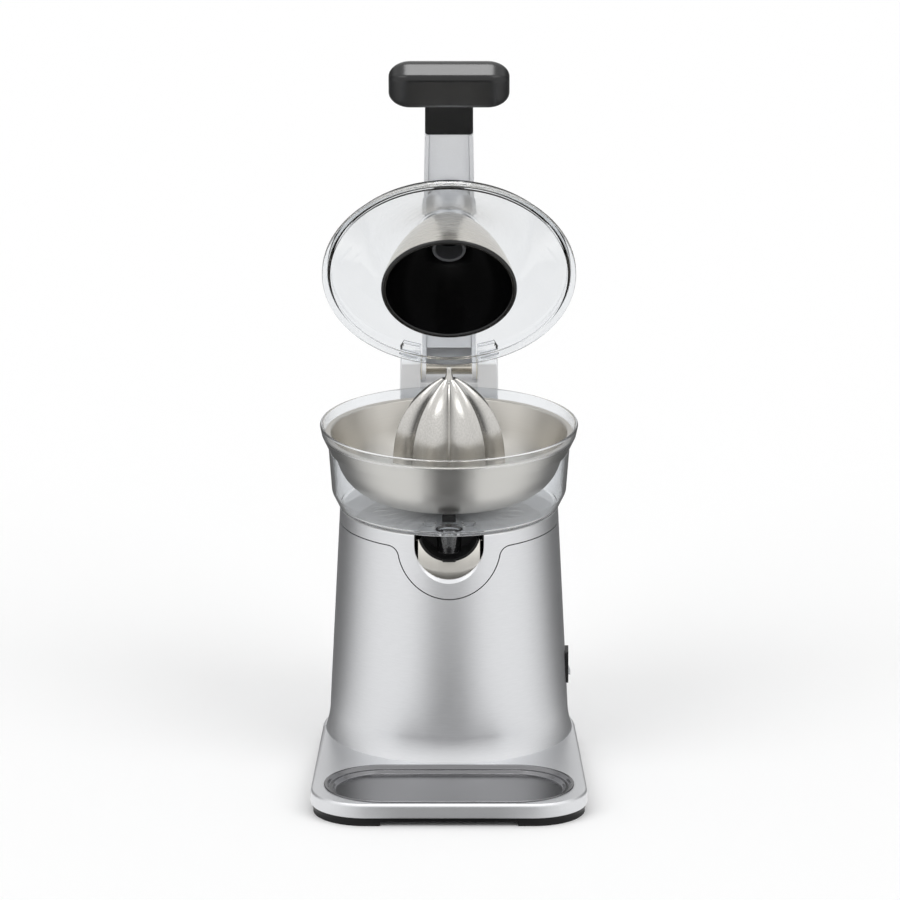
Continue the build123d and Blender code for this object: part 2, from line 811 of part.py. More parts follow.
def reamer():
    """Fluted cone, hollow below, with a hub on the spindle and a short spike on top."""
    cone = loft([flute_section(share) for share in reamer_levels])
    tip = reamer_base + reamer_levels[-1] * reamer_height
    neck = crest_radius(reamer_levels[-1]) * flute_ratio
    spike_top = tip + spike_height
    cone += turned([(0, tip - overrun), (neck, tip - overrun), (neck, tip),
                    (spike_radius, tip + spike_waist_rise),
                    (spike_radius, spike_top - spike_radius / 2), (0, spike_top)])
    crest = crest_radius(0)
    foot = make_face(Polyline((-rib_foot_width / 2, 0), (rib_foot_width / 2, 0),
                              (rib_foot_width / 5, rib_foot_height), (-rib_foot_width / 5, rib_foot_height),
                              close=True))
    for index in range(rib_count):
        wedge = extrude(Plane.XZ.offset(crest - rib_foot_inset) * Pos(0, reamer_base) * foot, rib_foot_depth)
        cone += Rot(0, 0, index * 360 / rib_count) * wedge
    inner = crest * flute_ratio - reamer_wall
    hollow_top = shaft_high + reamer_wall
    hub_low = reamer_base + reamer_hub_gap + press_travel
    cone -= turned([(reamer_hub_radius, reamer_base), (inner, reamer_base),
                    (inner - hollow_lean, reamer_base + hollow_step), (hollow_top_radius, shaft_high),
                    (reamer_hub_radius, hollow_top)])
    cone -= disc(reamer_hub_radius + push_fit, reamer_base, hub_low + reamer_hub_recess)
    return cone - disc(shaft_radius + push_fit, reamer_base, shaft_high)


def drive_shaft():
    """Spindle: hexagon that slides in the output gear, trip collar, and a round top for the cone."""
    hexagon = RegularPolygon(hex_across / 2 - running_fit, 6, major_radius=False)
    shaft = Pos(0, 0, shaft_low) * extrude(hexagon, hub_top - shaft_low)
    shaft += disc(shaft_radius - running_fit, hub_top - overrun, shaft_high)
    return shaft + disc(trip_collar_radius, trip_collar_low, trip_collar_low + trip_collar_height)


def shaft_seal():
    """Rubber seal in the deck round the spindle."""
    return ring(seal_radius, shaft_radius, body_top - seal_thickness, body_top)


def gear_face(module, teeth):
    """Gear outline with straight-sided approximations of involute flanks."""
    pitch = module * teeth / 2
    alpha = math.radians(pressure_angle)
    base = pitch * math.cos(alpha)
    half = (math.pi * module / 2 - backlash) / (2 * pitch)

    def half_angle(radius):
        lean = math.acos(min(1.0, base / radius))
        return half + (math.tan(alpha) - alpha) - (math.tan(lean) - lean)

    radii = [pitch + level * module for level in tooth_levels]
    flank = [(radius, half_angle(max(radius, base))) for radius in radii]
    points = []
    for index in range(teeth):
        middle = 2 * math.pi * index / teeth
        tooth = [(r, middle - a) for r, a in flank] + [(r, middle + a) for r, a in reversed(flank)]
        points += [(r * math.cos(a), r * math.sin(a)) for r, a in tooth]
    return make_face(Polyline(*points, close=True))


def gear(module, teeth, bore, low, width, turn=0.0, at=(0, 0)):
    """Spur gear standing at a level, turned so that it meshes."""
    face = gear_face(module, teeth)
    if bore > 0:
        face -= Circle(bore)
    return Pos(at[0], at[1], low) * Rot(0, 0, turn) * extrude(face, width)


def motor_pinion():
    """Steel pinion on the motor shaft, one tooth towards the idler."""
    return gear(fine_module, pinion_teeth, rotor_shaft_radius + push_fit, pinion_low, pinion_width, 90)


def idler_gear():
    """Idler wheel and its small pinion, moulded as one."""
    place = (0, idler_distance)
    bore = axle_radius + running_fit
    space = 180 / wheel_teeth
    wheel = gear(fine_module, wheel_teeth, bore, wheel_low, wheel_width, -90 + space, place)
    small_low = wheel_low + wheel_width
    small_space = 180 / idler_pinion_teeth
    small = gear(coarse_module, idler_pinion_teeth, bore, small_low, idler_top - small_low,
                 -90 + small_space, place)
    return wheel + small


def idler_axle():
    """Fixed steel axle of the idler."""
    return disc(axle_radius, gearbox_low, gearbox_high + gearbox_wall, (0, idler_distance))


def output_gear():
    """Output gear with a long hub that carries the sliding spindle."""
    blank = gear(coarse_module, output_teeth, 0, output_low, output_width, 90)
    blank += disc(hub_outer_radius, output_low + output_width, hub_top)
    hexagon = RegularPolygon(hex_across / 2, 6, major_radius=False)
    return blank - Pos(0, 0, spring_floor) * extrude(hexagon, hub_top - spring_floor)


def press_spring():
    """Coil spring under the spindle, which lifts the cone again."""
    radius = hex_across / 2 - spring_wire - running_fit
    height = spring_height - 2 * spring_wire
    path = Helix(height / spring_turns, height, radius)
    wire = Plane(path @ 0, z_dir=path % 0) * Circle(spring_wire / 2)
    return Pos(0, 0, spring_floor + spring_wire) * sweep(wire, path)


def output_bearings():
    """Two bearings of the output hub in the gearbox neck."""
    low = gearbox_high - neck_tube_depth
    width = output_bearing_width
    bore = hub_outer_radius + running_fit
    outer = output_bearing_radius
    return ring(outer, bore, low, low + width) + ring(outer, bore, neck_top - width, neck_top)


def gearbox_plan(inset):
    """Outline round the output gear and the idler wheel."""
    front = coarse_module * output_teeth / 2 + gearbox_margin + gearbox_front_room + gearbox_wall - inset
    rear = fine_module * wheel_teeth / 2 + gearbox_margin + gearbox_wall - inset
    rounds = Circle(front).edges() + (Pos(0, idler_distance) * Circle(rear)).edges()
    return make_hull(rounds)


def gearbox_screw_places():
    """Screw points in the walls of the gearbox, at the front and the rear."""
    front = coarse_module * output_teeth / 2 + gearbox_margin + gearbox_front_room + gearbox_wall / 2
    rear = idler_distance + fine_module * wheel_teeth / 2 + gearbox_margin + gearbox_wall / 2
    return [(0, -front), (0, rear)]


def gearbox_housing():
    """Tub on the motor that holds the gear train."""
    tub = Pos(0, 0, gearbox_low) * extrude(gearbox_plan(0), gearbox_height)
    tub -= Pos(0, 0, gearbox_floor) * extrude(gearbox_plan(gearbox_wall), gearbox_height)
    tub -= disc(fine_module * pinion_teeth / 2 + gear_gap, gearbox_low, gearbox_floor)
    for place in gearbox_screw_places():
        tub += disc(screw_head_radius, gearbox_low, gearbox_high, place)
        tub -= disc(screw_radius + push_fit, gearbox_high - gear_gap * 3, gearbox_high, place)
    return tub - disc(axle_radius + push_fit, gearbox_low, gearbox_floor, (0, idler_distance))


def gearbox_cover():
    """Cover with the neck that holds the output bearings."""
    cover = Pos(0, 0, gearbox_high) * extrude(gearbox_plan(0), gearbox_wall)
    neck = output_bearing_radius + neck_tube_wall
    cover += disc(neck, gearbox_high - neck_tube_depth, neck_top)
    cover -= disc(output_bearing_radius + push_fit, gearbox_high - neck_tube_depth, neck_top)
    for place in gearbox_screw_places():
        cover -= disc(screw_radius + push_fit, gearbox_high, cover_top, place)
    return cover - disc(axle_radius + push_fit, gearbox_high, cover_top, (0, idler_distance))


def gearbox_screws():
    """Screws in the gearbox cover."""
    low = cover_top + screw_head_height
    group = [screw(place, low, gearbox_wall + gear_gap * 2, -1) for place in gearbox_screw_places()]
    return Part() + group


def micro_switch():
    """Trip switch beside the spindle, with a lever under the collar."""
    body = block((-trip_width / 2, trip_width / 2), (trip_y, trip_y + trip_length),
                 (cover_top, cover_top + trip_height))
    lever_z = trip_collar_low - press_travel - slide_gap - lever_thickness
    post = block((-trip_width / 4, trip_width / 4), (trip_y + trip_length - trip_post, trip_y + trip_length),
                 (cover_top + trip_height, lever_z))
    lever = block((-trip_width / 4, trip_width / 4), (lever_end, trip_y + trip_length),
                  (lever_z, lever_z + lever_thickness))
    return body + post + lever


def tie_places():
    """Tie bolts on the X and Y axes of the motor."""
    return [(tie_circle, 0), (-tie_circle, 0), (0, tie_circle), (0, -tie_circle)]


def motor_bracket(low, radius):
    """End bracket with a bearing seat and tie bolt holes."""
    plate = disc(radius, low, low + bracket_thickness)
    plate -= disc(motor_bearing_radius + push_fit, low, low + bracket_thickness)
    for place in tie_places():
        plate -= disc(tie_radius + push_fit, low, low + bracket_thickness, place)
    window = PolarLocations((motor_bearing_radius + stator_radius) / 2, 4, start_angle=45) * Circle(
        stator_radius / 5)
    return plate - Pos(0, 0, low) * extrude(Sketch() + window, bracket_thickness)


def motor_lower_bracket():
    """Lower end bracket, which also stands on the rubber mounts."""
    bracket = motor_bracket(lower_bracket, bracket_radius)
    for place in pillar_places():
        bracket -= disc(screw_radius + push_fit, lower_bracket, lower_bracket + bracket_thickness, place)
    return bracket


def motor_upper_bracket():
    """Upper end bracket, which carries the gearbox."""
    return motor_bracket(upper_bracket, upper_bracket_radius)


def motor_mounts():
    """Rubber mounts between the base pillars and the motor."""
    high = lower_bracket
    bore = screw_radius + push_fit
    group = [ring(pillar_radius, bore, pillar_top, high, place) for place in pillar_places()]
    return Part() + group


def mount_screws():
    """Screws through the lower bracket into the base pillars."""
    low = lower_bracket + bracket_thickness + screw_head_height
    length = bracket_thickness + mount_height + pillar_height - overrun
    group = [screw(place, low, length, -1) for place in pillar_places()]
    return Part() + group


def motor_bolts():
    """Tie bolts that clamp the two brackets."""
    high = upper_bracket + bracket_thickness
    group = [disc(tie_radius, lower_bracket, high, place) for place in tie_places()]
    return Part() + group


def motor_stator():
    """Laminated core, held between the tie bolts."""
    core = ring(tie_circle - tie_radius, stator_bore, stator_low, stator_high)
    for place in tie_places():
        core -= disc(tie_radius * 2, stator_low, stator_high, place)
    return core


def motor_windings():
    """Copper end turns above and below the core."""
    outer = stator_radius - winding_clearance
    inner = stator_bore + winding_clearance
    low = ring(outer, inner, stator_low - winding_length, stator_low)
    high = ring(outer, inner, stator_high, stator_high + winding_length)
    return low + high


def motor_bearings():
    """Ball bearings in the two brackets."""
    bore = rotor_shaft_radius + running_fit
    width = motor_bearing_width
    low = lower_bracket + bracket_thickness - width
    lower = ring(motor_bearing_radius, bore, low, low + width)
    top = upper_bracket + bracket_thickness
    upper = ring(motor_bearing_radius, bore, top - width, top)
    return lower + upper


def rotor_shaft():
    """Motor shaft from the fan to the pinion."""
    low = base_bottom + fan_clearance
    return disc(rotor_shaft_radius, low, pinion_low + pinion_width)


def rotor_core():
    """Rotor on the motor shaft."""
    return ring(rotor_radius, rotor_shaft_radius + push_fit, stator_low, stator_high)


def cooling_fan():
    """Radial fan that draws air through the bottom grille."""
    low = base_bottom + fan_clearance
    fan = ring(rotor_shaft_radius * 2, rotor_shaft_radius + push_fit, low, low + fan_height)
    fan += ring(fan_radius, rotor_shaft_radius + push_fit, low + fan_height - fan_plate, low + fan_height)
    for index in range(fan_blades):
        blade = block((rotor_shaft_radius + overrun, fan_radius - overrun), (-fan_blade / 2, fan_blade / 2),
                      (low, low + fan_height))
        fan += Rot(0, 0, index * 360 / fan_blades) * blade
    return fan


def hinge_column():
    """Column behind the body, with two posts that hold the hinge pin."""
    side = make_face(Polyline((column_front, base_top), (column_back, base_top), (column_back, post_top),
                              (column_front, post_top), close=True))
    side = rounded(side, [(column_back, post_top, column_top_radius)])
    foot = heel_half - column_side_inset
    head = post_half - post_lean
    front = make_face(Polyline((-foot, base_top), (foot, base_top), (post_half, pivot_z), (head, post_top),
                               (-head, post_top), (-post_half, pivot_z), close=True))
    column = side_prism(side, heel_half) & Pos(0, 2 * heel_back, 0) * extrude(Plane.XZ * front, 3 * heel_back)
    column -= turned([(0, base_top), (body_foot_radius + body_flare + wall_gap, base_top),
                      (body_foot_radius + wall_gap, flare_top),
                      (body_top_radius + wall_gap, body_top), (0, body_top)])
    reach = 2 * heel_half
    column -= block((-reach, reach), (0, post_front), (body_top, post_top + overrun))
    slot = post_inner
    column -= block((-slot, slot), (0, web_front), (body_top, post_top + overrun))
    column -= block((-slot, slot), (0, reach * 2), (pivot_z - eye_radius - eye_clearance, post_top + overrun))
    top_front = [e for e in column.edges().filter_by(Axis.X)
                 if abs(e.center().Z - post_top) < 0.1 and e.center().Y < pivot_y]
    column = chamfer(top_front, post_chamfer)
    half = pocket_half
    column -= block((-half, half), (web_front + column_wall, heel_back), (pocket_low, pocket_high))
    margin = column_wall / 2
    column -= block((-half - margin, half + margin), (column_back - column_cover_thickness, heel_back),
                    (pocket_low - margin, pocket_high + margin))
    rod = cross_rod(pin_radius + push_fit, -reach, reach, pivot_y, pivot_z)
    return column - rod


def column_cover():
    """Rear cover of the column, with a hole for the mains inlet."""
    margin = column_wall / 2 - wall_gap
    half = pocket_half + margin
    low = pocket_low - margin
    high = pocket_high + margin
    back = column_back
    cover = block((-half, half), (back - column_cover_thickness, back), (low, high))
    inlet = Pos(0, back, base_top + gland_rise) * Rot(90, 0, 0) * Cylinder(
        gland_radius + push_fit, 4 * column_cover_thickness)
    return cover - inlet


def cord_gland():
    """Rubber gland of the mains inlet."""
    back = column_back
    at = Pos(0, back - column_cover_thickness / 2, base_top + gland_rise) * Rot(90, 0, 0)
    gland = at * Cylinder(gland_radius, gland_length)
    gland += at * Cylinder(gland_radius + gland_flange, gland_length) & block(
        (-heel_half, heel_half), (back, heel_back), (base_top, pivot_z))
    return gland - at * Cylinder(gland_bore, 4 * column_cover_thickness)


def hinge_pin():
    """Polished steel pin through both posts and the lever."""
    half = post_half - pin_recess
    return cross_rod(pin_radius, -half, half, pivot_y, pivot_z)


def hinge_washers():
    """Friction washers between the lever and the posts."""
    inner = arm_hinge_width / 2 + seat_gap
    washer = cross_rod(washer_radius, inner, inner + washer_thickness, pivot_y, pivot_z)
    outer = inner + washer_thickness
    washer -= cross_rod(pin_radius + push_fit, inner - overrun, outer + overrun, pivot_y, pivot_z)
    return mirrored_pair(washer)


arm_plane = Plane(origin=(0, pivot_y, pivot_z), x_dir=(0, -1, 0), z_dir=(-1, 0, 0))
hinge_axis = Axis((0, pivot_y, pivot_z), (1, 0, 0))
neck_y = pivot_y - arm_length
panel_low = pivot_z + arm_under + panel_inset
web_low = pivot_z + arm_top - arm_wall
tongue_low = panel_low + panel_thickness + wall_gap
grip_y = neck_y - neck_length - grip_depth / 2
grip_top = pivot_z + arm_top - grip_drop


def opened(shape):
    """Piece of the lever, drawn closed, swung up to the open rest position."""
    return shape.rotate(hinge_axis, -open_angle)


def lever_prism(outline, half_width):
    """Side outline of the closed lever, (forward, up) from the hinge, given a width."""
    return extrude(arm_plane * outline, half_width, both=True)


def lever_plan(inset):
    """Plan taper of the lever as a tall block, drawn in by an inset."""
    hinge = arm_hinge_width / 2 - inset
    neck = arm_neck_width / 2 - inset
    behind = pivot_y + 3 * eye_radius
    plan = make_face(Polyline((hinge, behind), (hinge, pivot_y), (neck, neck_y),
                              (-neck, neck_y), (-hinge, pivot_y), (-hinge, behind), close=True))
    return Pos(0, 0, pivot_z - arm_top) * extrude(plan, 3 * arm_top)


def lever_outline(top_inset, under_inset):
    """Side outline of the lever, a steep rise from the hinge and a level reach, drawn in."""
    top_rise = math.atan2(arm_top, arm_top_bend + eye_radius)
    under_rise = math.atan2(arm_under, arm_under_bend - eye_radius)
    high = arm_top - top_inset
    low = arm_under + under_inset
    top_bend = arm_top_bend + top_inset * math.tan(top_rise / 2)
    under_bend = arm_under_bend - under_inset * math.tan(under_rise / 2)
    top_start = -eye_radius + top_inset / math.sin(top_rise)
    under_start = eye_radius - under_inset / math.sin(under_rise)
    shape = make_face(Polyline((top_start, 0), (top_bend, high), (arm_length, high), (arm_length, low),
                               (under_bend, low), (under_start, 0), close=True))
    return rounded(shape, [(top_bend, high, arm_top_radius - top_inset),
                           (under_bend, low, arm_under_radius + under_inset)])


def lever_arm():
    """Cast channel of the press lever, open below, with an eye at each side of the hinge."""
    half = arm_hinge_width / 2
    arm = lever_prism(lever_outline(0, 0) + Circle(eye_radius), half) & lever_plan(0)
    hollow = lever_prism(lever_outline(arm_wall, -4 * arm_wall) + Circle(eye_radius + overrun), half)
    arm -= hollow & lever_plan(arm_wall)
    arm -= cross_rod(pin_radius + bush_wall + push_fit, -2 * half, 2 * half, pivot_y, pivot_z)
    for place in handle_screw_places():
        arm -= disc(screw_radius + push_fit, web_low, web_low + handle_hole_end, place)
    return opened(arm)


def hinge_bushes():
    """Bronze bushes in the lever's two eyes."""
    outer = arm_hinge_width / 2
    inner = outer - arm_wall
    bush = cross_rod(pin_radius + bush_wall, inner, outer, pivot_y, pivot_z)
    bush -= cross_rod(pin_radius + running_fit, inner - overrun, outer + overrun, pivot_y, pivot_z)
    return opened(mirrored_pair(bush))


def handle_screw_places():
    """Two screws side by side near the end of the lever."""
    return [(side * handle_screw_x, neck_y + handle_screw_back) for side in (-1, 1)]


def arm_cover():
    """Panel that closes the lever's underside between its flanges."""
    half = arm_hinge_width / 2
    panel = lever_prism(lever_outline(arm_wall, panel_inset), half)
    panel -= lever_prism(lever_outline(0, panel_inset + panel_thickness), half)
    panel &= lever_plan(arm_wall + wall_gap)
    panel -= cross_rod(panel_start, -half, half, pivot_y, pivot_z)
    panel -= disc(spigot_radius + wall_gap, pivot_z, web_low)
    return opened(panel)


def neck_block():
    """Black neck from the lever's end into the grip."""
    half = arm_neck_width / 2
    end = neck_y - neck_length - neck_insert
    low = pivot_z + arm_under + neck_raise
    neck = block((-half, half), (end, neck_y), (low, pivot_z + arm_top - neck_drop))
    return fillet(neck.edges().filter_by(Axis.Y), neck_edge_radius)


def handle_neck():
    """Neck with the tongue that is screwed into the lever."""
    half = arm_neck_width / 2 - arm_wall - tongue_clearance
    tongue = block((-half, half), (neck_y - overrun, neck_y + tongue_length),
                   (tongue_low, web_low))
    neck = neck_block() + tongue
    recess = tongue_low + wall_gap + screw_head_height
    for place in handle_screw_places():
        neck -= disc(screw_radius + push_fit, tongue_low, web_low, place)
        neck -= disc(screw_head_radius + wall_gap, tongue_low, recess, place)
    return opened(neck)


def handle_grip():
    """Soft stadium grip across the lever's end."""
    plan = Pos(0, grip_y, grip_top - grip_height) * SlotOverall(grip_width, grip_depth)
    grip = extrude(plan, grip_height)
    grip = fillet(grip.faces().sort_by(Axis.Z)[0].edges() + grip.faces().sort_by(Axis.Z)[-1].edges(),
                  grip_radius)
    return opened(grip - neck_block())


def handle_screws():
    """Screws from the handle's tongue into the lever's web, under the panel."""
    low = tongue_low + wall_gap
    length = web_low + handle_hole_end - overrun - low - screw_head_height
    group = [screw(place, low, length) for place in handle_screw_places()]
    return opened(Part() + group)


def dome_boss():
    """Silver boss that carries the dome and the lid below the lever."""
    shoulder = pivot_z + arm_under
    boss = disc(boss_outer_radius, lid_top, shoulder) + disc(spigot_radius, shoulder, web_low)
    return opened(boss - disc(stud_radius + push_fit, lid_top, web_low))


def dome_stud():
    """Threaded stud that draws the dome and the lid up against the boss."""
    return opened(disc(stud_radius, dome_top, web_low - overrun))


def dome_form(inset):
    """Bell-shaped form of the dome, drawn in by an inset."""
    shoulder = pivot_z + dome_shoulder_rise
    top = (dome_top_radius - inset, dome_top - inset)
    fall = dome_top - dome_mouth
    spread = dome_mouth_radius - dome_top_radius
    chord = math.hypot(fall, spread)
    middle = (dome_shoulder_radius - inset * fall / chord, shoulder - inset * spread / chord)
    mouth = (dome_mouth_radius - inset, dome_mouth)
    bell = ThreePointArc(top, middle, mouth)
    rest = Polyline(mouth, (0, dome_mouth), (0, dome_top - inset), top)
    return revolve(Plane.XZ * make_face(bell.edges() + rest.edges()), Axis.Z)


def press_dome():
    """Brushed steel bell that presses the fruit."""
    return opened(dome_form(0) - dome_form(dome_sheet))


def dome_liner():
    """Black lining of the dome with a rolled lip round its mouth."""
    inner = dome_sheet + dome_liner_wall
    lining = dome_form(dome_sheet) - dome_form(inner)
    lip = Pos(0, 0, dome_mouth) * Torus(dome_mouth_radius - dome_lip_radius, dome_lip_radius)
    reach = 2 * dome_mouth_radius
    lip &= block((-reach, reach), (-reach, reach), (dome_mouth - reach, dome_mouth))
    return opened(lining + lip)


def dome_hub():
    """Cup in the dome's roof that takes the cone's spike."""
    high = dome_top - dome_sheet - dome_liner_wall
    return opened(ring(hub_radius, hub_bore, high - hub_length, high))


def lid():
    """Clear splash lid, clamped between the boss and the dome."""
    rim = lid_top - lid_rim_drop
    shoulder = lid_top - lid_shoulder_drop
    low = rim - lid_skirt
    sheet = lid_sheet
    bore = stud_radius + wall_gap
    outline = make_face(Polyline(
        (bore, lid_top), (lid_neck_radius, lid_top), (lid_shoulder_radius, shoulder), (lid_radius, rim),
        (lid_radius, low), (lid_radius - sheet, low), (lid_radius - sheet, rim - sheet),
        (lid_shoulder_radius - sheet / 2, shoulder - sheet), (lid_neck_radius - sheet / 2, dome_top),
        (bore, dome_top), close=True))
    outline = rounded(outline, [
        (lid_radius, rim, lid_corner_radius),
        (lid_shoulder_radius, shoulder, lid_shoulder_blend),
        (lid_shoulder_radius - sheet / 2, shoulder - sheet, lid_shoulder_blend),
    ])
    cover = revolve(Plane.XZ * outline, Axis.Z)
    clip = ring(lid_radius - overrun, lid_radius - clip_width, rim - overrun, rim + clip_height)
    inner = math.tan(math.radians(clip_inner_angle)) * lid_radius
    outer = math.tan(math.radians(clip_outer_angle)) * lid_radius
    wedge = make_face(Polyline((0, 0), (inner, lid_radius), (outer, lid_radius), close=True))
    sector = extrude(wedge, dome_top)
    return opened(cover + (clip & mirrored_pair(sector)))


def switch_bezel():
    """Frame of the side rocker, let into the body's wall."""
    face = body_radius(switch_z)
    half = barrel_half_width
    rise = barrel_half_height
    margin = bezel_margin
    flange = block((face - bezel_proud, face + bezel_proud), (-half - margin, half + margin),
                   (switch_z - rise - margin, switch_z + rise + margin))
    flange = fillet(flange.edges().filter_by(Axis.X), margin)
    flange -= turned([(0, base_top), (body_radius(base_top), base_top),
                      (body_radius(body_top), body_top), (0, body_top)])
    barrel = block((face - bezel_depth, face + bezel_proud), (-half, half),
                   (switch_z - rise, switch_z + rise))
    window = block((face - bezel_depth + bezel_wall, face + bezel_proud),
                   (-window_half_width, window_half_width),
                   (switch_z - window_half_height, switch_z + window_half_height))
    return flange + barrel - window - rocker_pins(rocker_pin_radius + running_fit)


def rocker_pins(radius):
    """Pivot of the rocker, along Y."""
    x = body_radius(switch_z) - rocker_setback
    length = 2 * (barrel_half_width - wall_gap)
    return Pos(x, 0, switch_z) * Rot(90, 0, 0) * Cylinder(radius, length)


def rocker():
    """Dished rocker, resting with its lower end out."""
    x = body_radius(switch_z) - rocker_setback
    high = rocker_half_height
    outline = make_face(Polyline((-rocker_back, -high / 2), (-rocker_back, high / 2), (rocker_front, high),
                                 (rocker_front - rocker_dish, 0), (rocker_front, -high), close=True))
    half = window_half_width - rocker_clearance
    key = Pos(x, 0, switch_z) * extrude(Plane.XZ * outline, half, both=True)
    pivot = Axis((x, 0, switch_z), (0, 1, 0))
    return key.rotate(pivot, -rocker_lean) + rocker_pins(rocker_pin_radius)


pieces = [
    base_plate, bottom_cover, rubber_feet, bottom_screws, drip_tray,
    main_body, top_collar, spout_liner, spout_pin, spout_trough, spout_skirt,
    juice_bowl, outlet_gate, strainer, reamer, drive_shaft, shaft_seal,
    motor_pinion, idler_gear, idler_axle, output_gear, press_spring, output_bearings,
    gearbox_housing, gearbox_cover, gearbox_screws, micro_switch,
    motor_lower_bracket, motor_upper_bracket, motor_mounts, mount_screws, motor_bolts,
    motor_stator, motor_windings, motor_bearings, rotor_shaft, rotor_core, cooling_fan,
    hinge_column, column_cover, cord_gland, hinge_pin, hinge_washers,
    lever_arm, hinge_bushes, arm_cover, handle_neck, handle_grip, handle_screws,
    dome_boss, dome_stud, press_dome, dome_liner, dome_hub, lid,
    switch_bezel, rocker,
]

os.makedirs("parts", exist_ok=True)
for make in pieces:
    name = make.__name__
    export_step(Pos(0, axis_setback, 0) * make(), f"parts/{name}.step")
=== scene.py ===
"""Looks of an electric citrus press: satin silver stand, clear bowl and lid, steel dome and fluted cone."""

import json
import logging
import math
from dataclasses import dataclass, field
from enum import Enum
from functools import partial
from typing import Any, Dict, List, Optional, Sequence, Tuple

import bmesh
import bpy
from mathutils import Matrix, Vector


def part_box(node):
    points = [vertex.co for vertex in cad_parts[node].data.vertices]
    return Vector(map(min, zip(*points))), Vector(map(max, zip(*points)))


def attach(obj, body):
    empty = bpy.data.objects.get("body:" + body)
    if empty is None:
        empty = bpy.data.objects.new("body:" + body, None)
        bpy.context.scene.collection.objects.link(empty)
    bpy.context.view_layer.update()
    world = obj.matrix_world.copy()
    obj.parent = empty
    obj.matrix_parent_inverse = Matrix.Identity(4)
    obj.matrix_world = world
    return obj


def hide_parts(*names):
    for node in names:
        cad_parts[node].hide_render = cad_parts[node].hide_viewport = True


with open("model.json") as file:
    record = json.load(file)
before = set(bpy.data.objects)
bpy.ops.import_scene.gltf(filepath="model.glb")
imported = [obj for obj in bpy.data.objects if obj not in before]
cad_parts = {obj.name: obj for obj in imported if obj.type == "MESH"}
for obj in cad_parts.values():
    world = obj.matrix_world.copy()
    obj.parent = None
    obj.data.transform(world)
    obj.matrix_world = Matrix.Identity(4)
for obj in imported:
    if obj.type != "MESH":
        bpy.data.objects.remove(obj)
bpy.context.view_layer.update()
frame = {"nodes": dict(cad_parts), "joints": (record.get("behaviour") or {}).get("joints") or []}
LOG = logging.getLogger("juicer")

MM = 0.001
MERGE_M = 1e-6
FLAT_DEG = 0.4
SHARP_DEG = 40.0
WHITE = (1.0, 1.0, 1.0, 1.0)
Point = Tuple[float, float]
Corner = Tuple[float, float, float]
Loop = List[Vector]
Shape = bmesh.types.BMesh
Piece = bpy.types.Object
Socket = bpy.types.NodeSocket
NodeTree = bpy.types.NodeTree
MADE: Dict[str, bpy.types.Material] = {}


class Body(Enum):
    """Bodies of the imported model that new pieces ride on."""

    STAND = "stand"
    LEVER = "lever"
    SPOUT = "spout"
    TRAY = "drip_tray"
    SPINDLE = "spindle"
    ROCKER = "rocker"


class Brushing(Enum):
    """Direction of the lines in a brushed face."""

    AROUND = "around"
    ACROSS = "across"


def axis_y() -> float:
    """Y of the cone's axis in millimetres, from the strainer's box."""
    low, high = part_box("strainer")
    return (low.y + high.y) / 2 / MM


def linear(colour: str) -> Tuple[float, float, float, float]:
    """Turns an sRGB hex colour to linear.

    Args:
        colour: six hex digits after a hash.

    Returns:
        Red, green, blue and alpha.
    """
    shares = [int(colour[i:i + 2], 16) / 255 for i in (1, 3, 5)]
    curve = [s / 12.92 if s <= 0.04045 else ((s + 0.055) / 1.055) ** 2.4 for s in shares]
    return (curve[0], curve[1], curve[2], 1.0)


def put(tree: NodeTree, kind: str, inputs: Optional[Dict[Any, Any]] = None,
        **settings: Any) -> bpy.types.Node:
    """Adds a node with its settings and links.

    Args:
        tree: the node tree.
        kind: the node's type name.
        inputs: values or output sockets for its input sockets, by name or number.
        settings: properties of the node.

    Returns:
        The new node.
    """
    made = tree.nodes.new(kind)
    for name, value in settings.items():
        setattr(made, name, value)
    for key, value in (inputs or {}).items():
        if isinstance(value, Socket):
            tree.links.new(value, made.inputs[key])
        else:
            made.inputs[key].default_value = value
    return made


def reckon(tree: NodeTree, operation: str, *values: Any) -> Socket:
    """Adds a sum of one or two values to a tree and returns its output."""
    return put(tree, "ShaderNodeMath", dict(enumerate(values)), operation=operation).outputs[0]


def blank_tree(owner: bpy.types.ID) -> NodeTree:
    """Gives a material or world an empty node tree.

    Args:
        owner: the material or world.

    Returns:
        The tree.
    """
    owner.use_nodes = True
    owner.node_tree.nodes.clear()
    return owner.node_tree


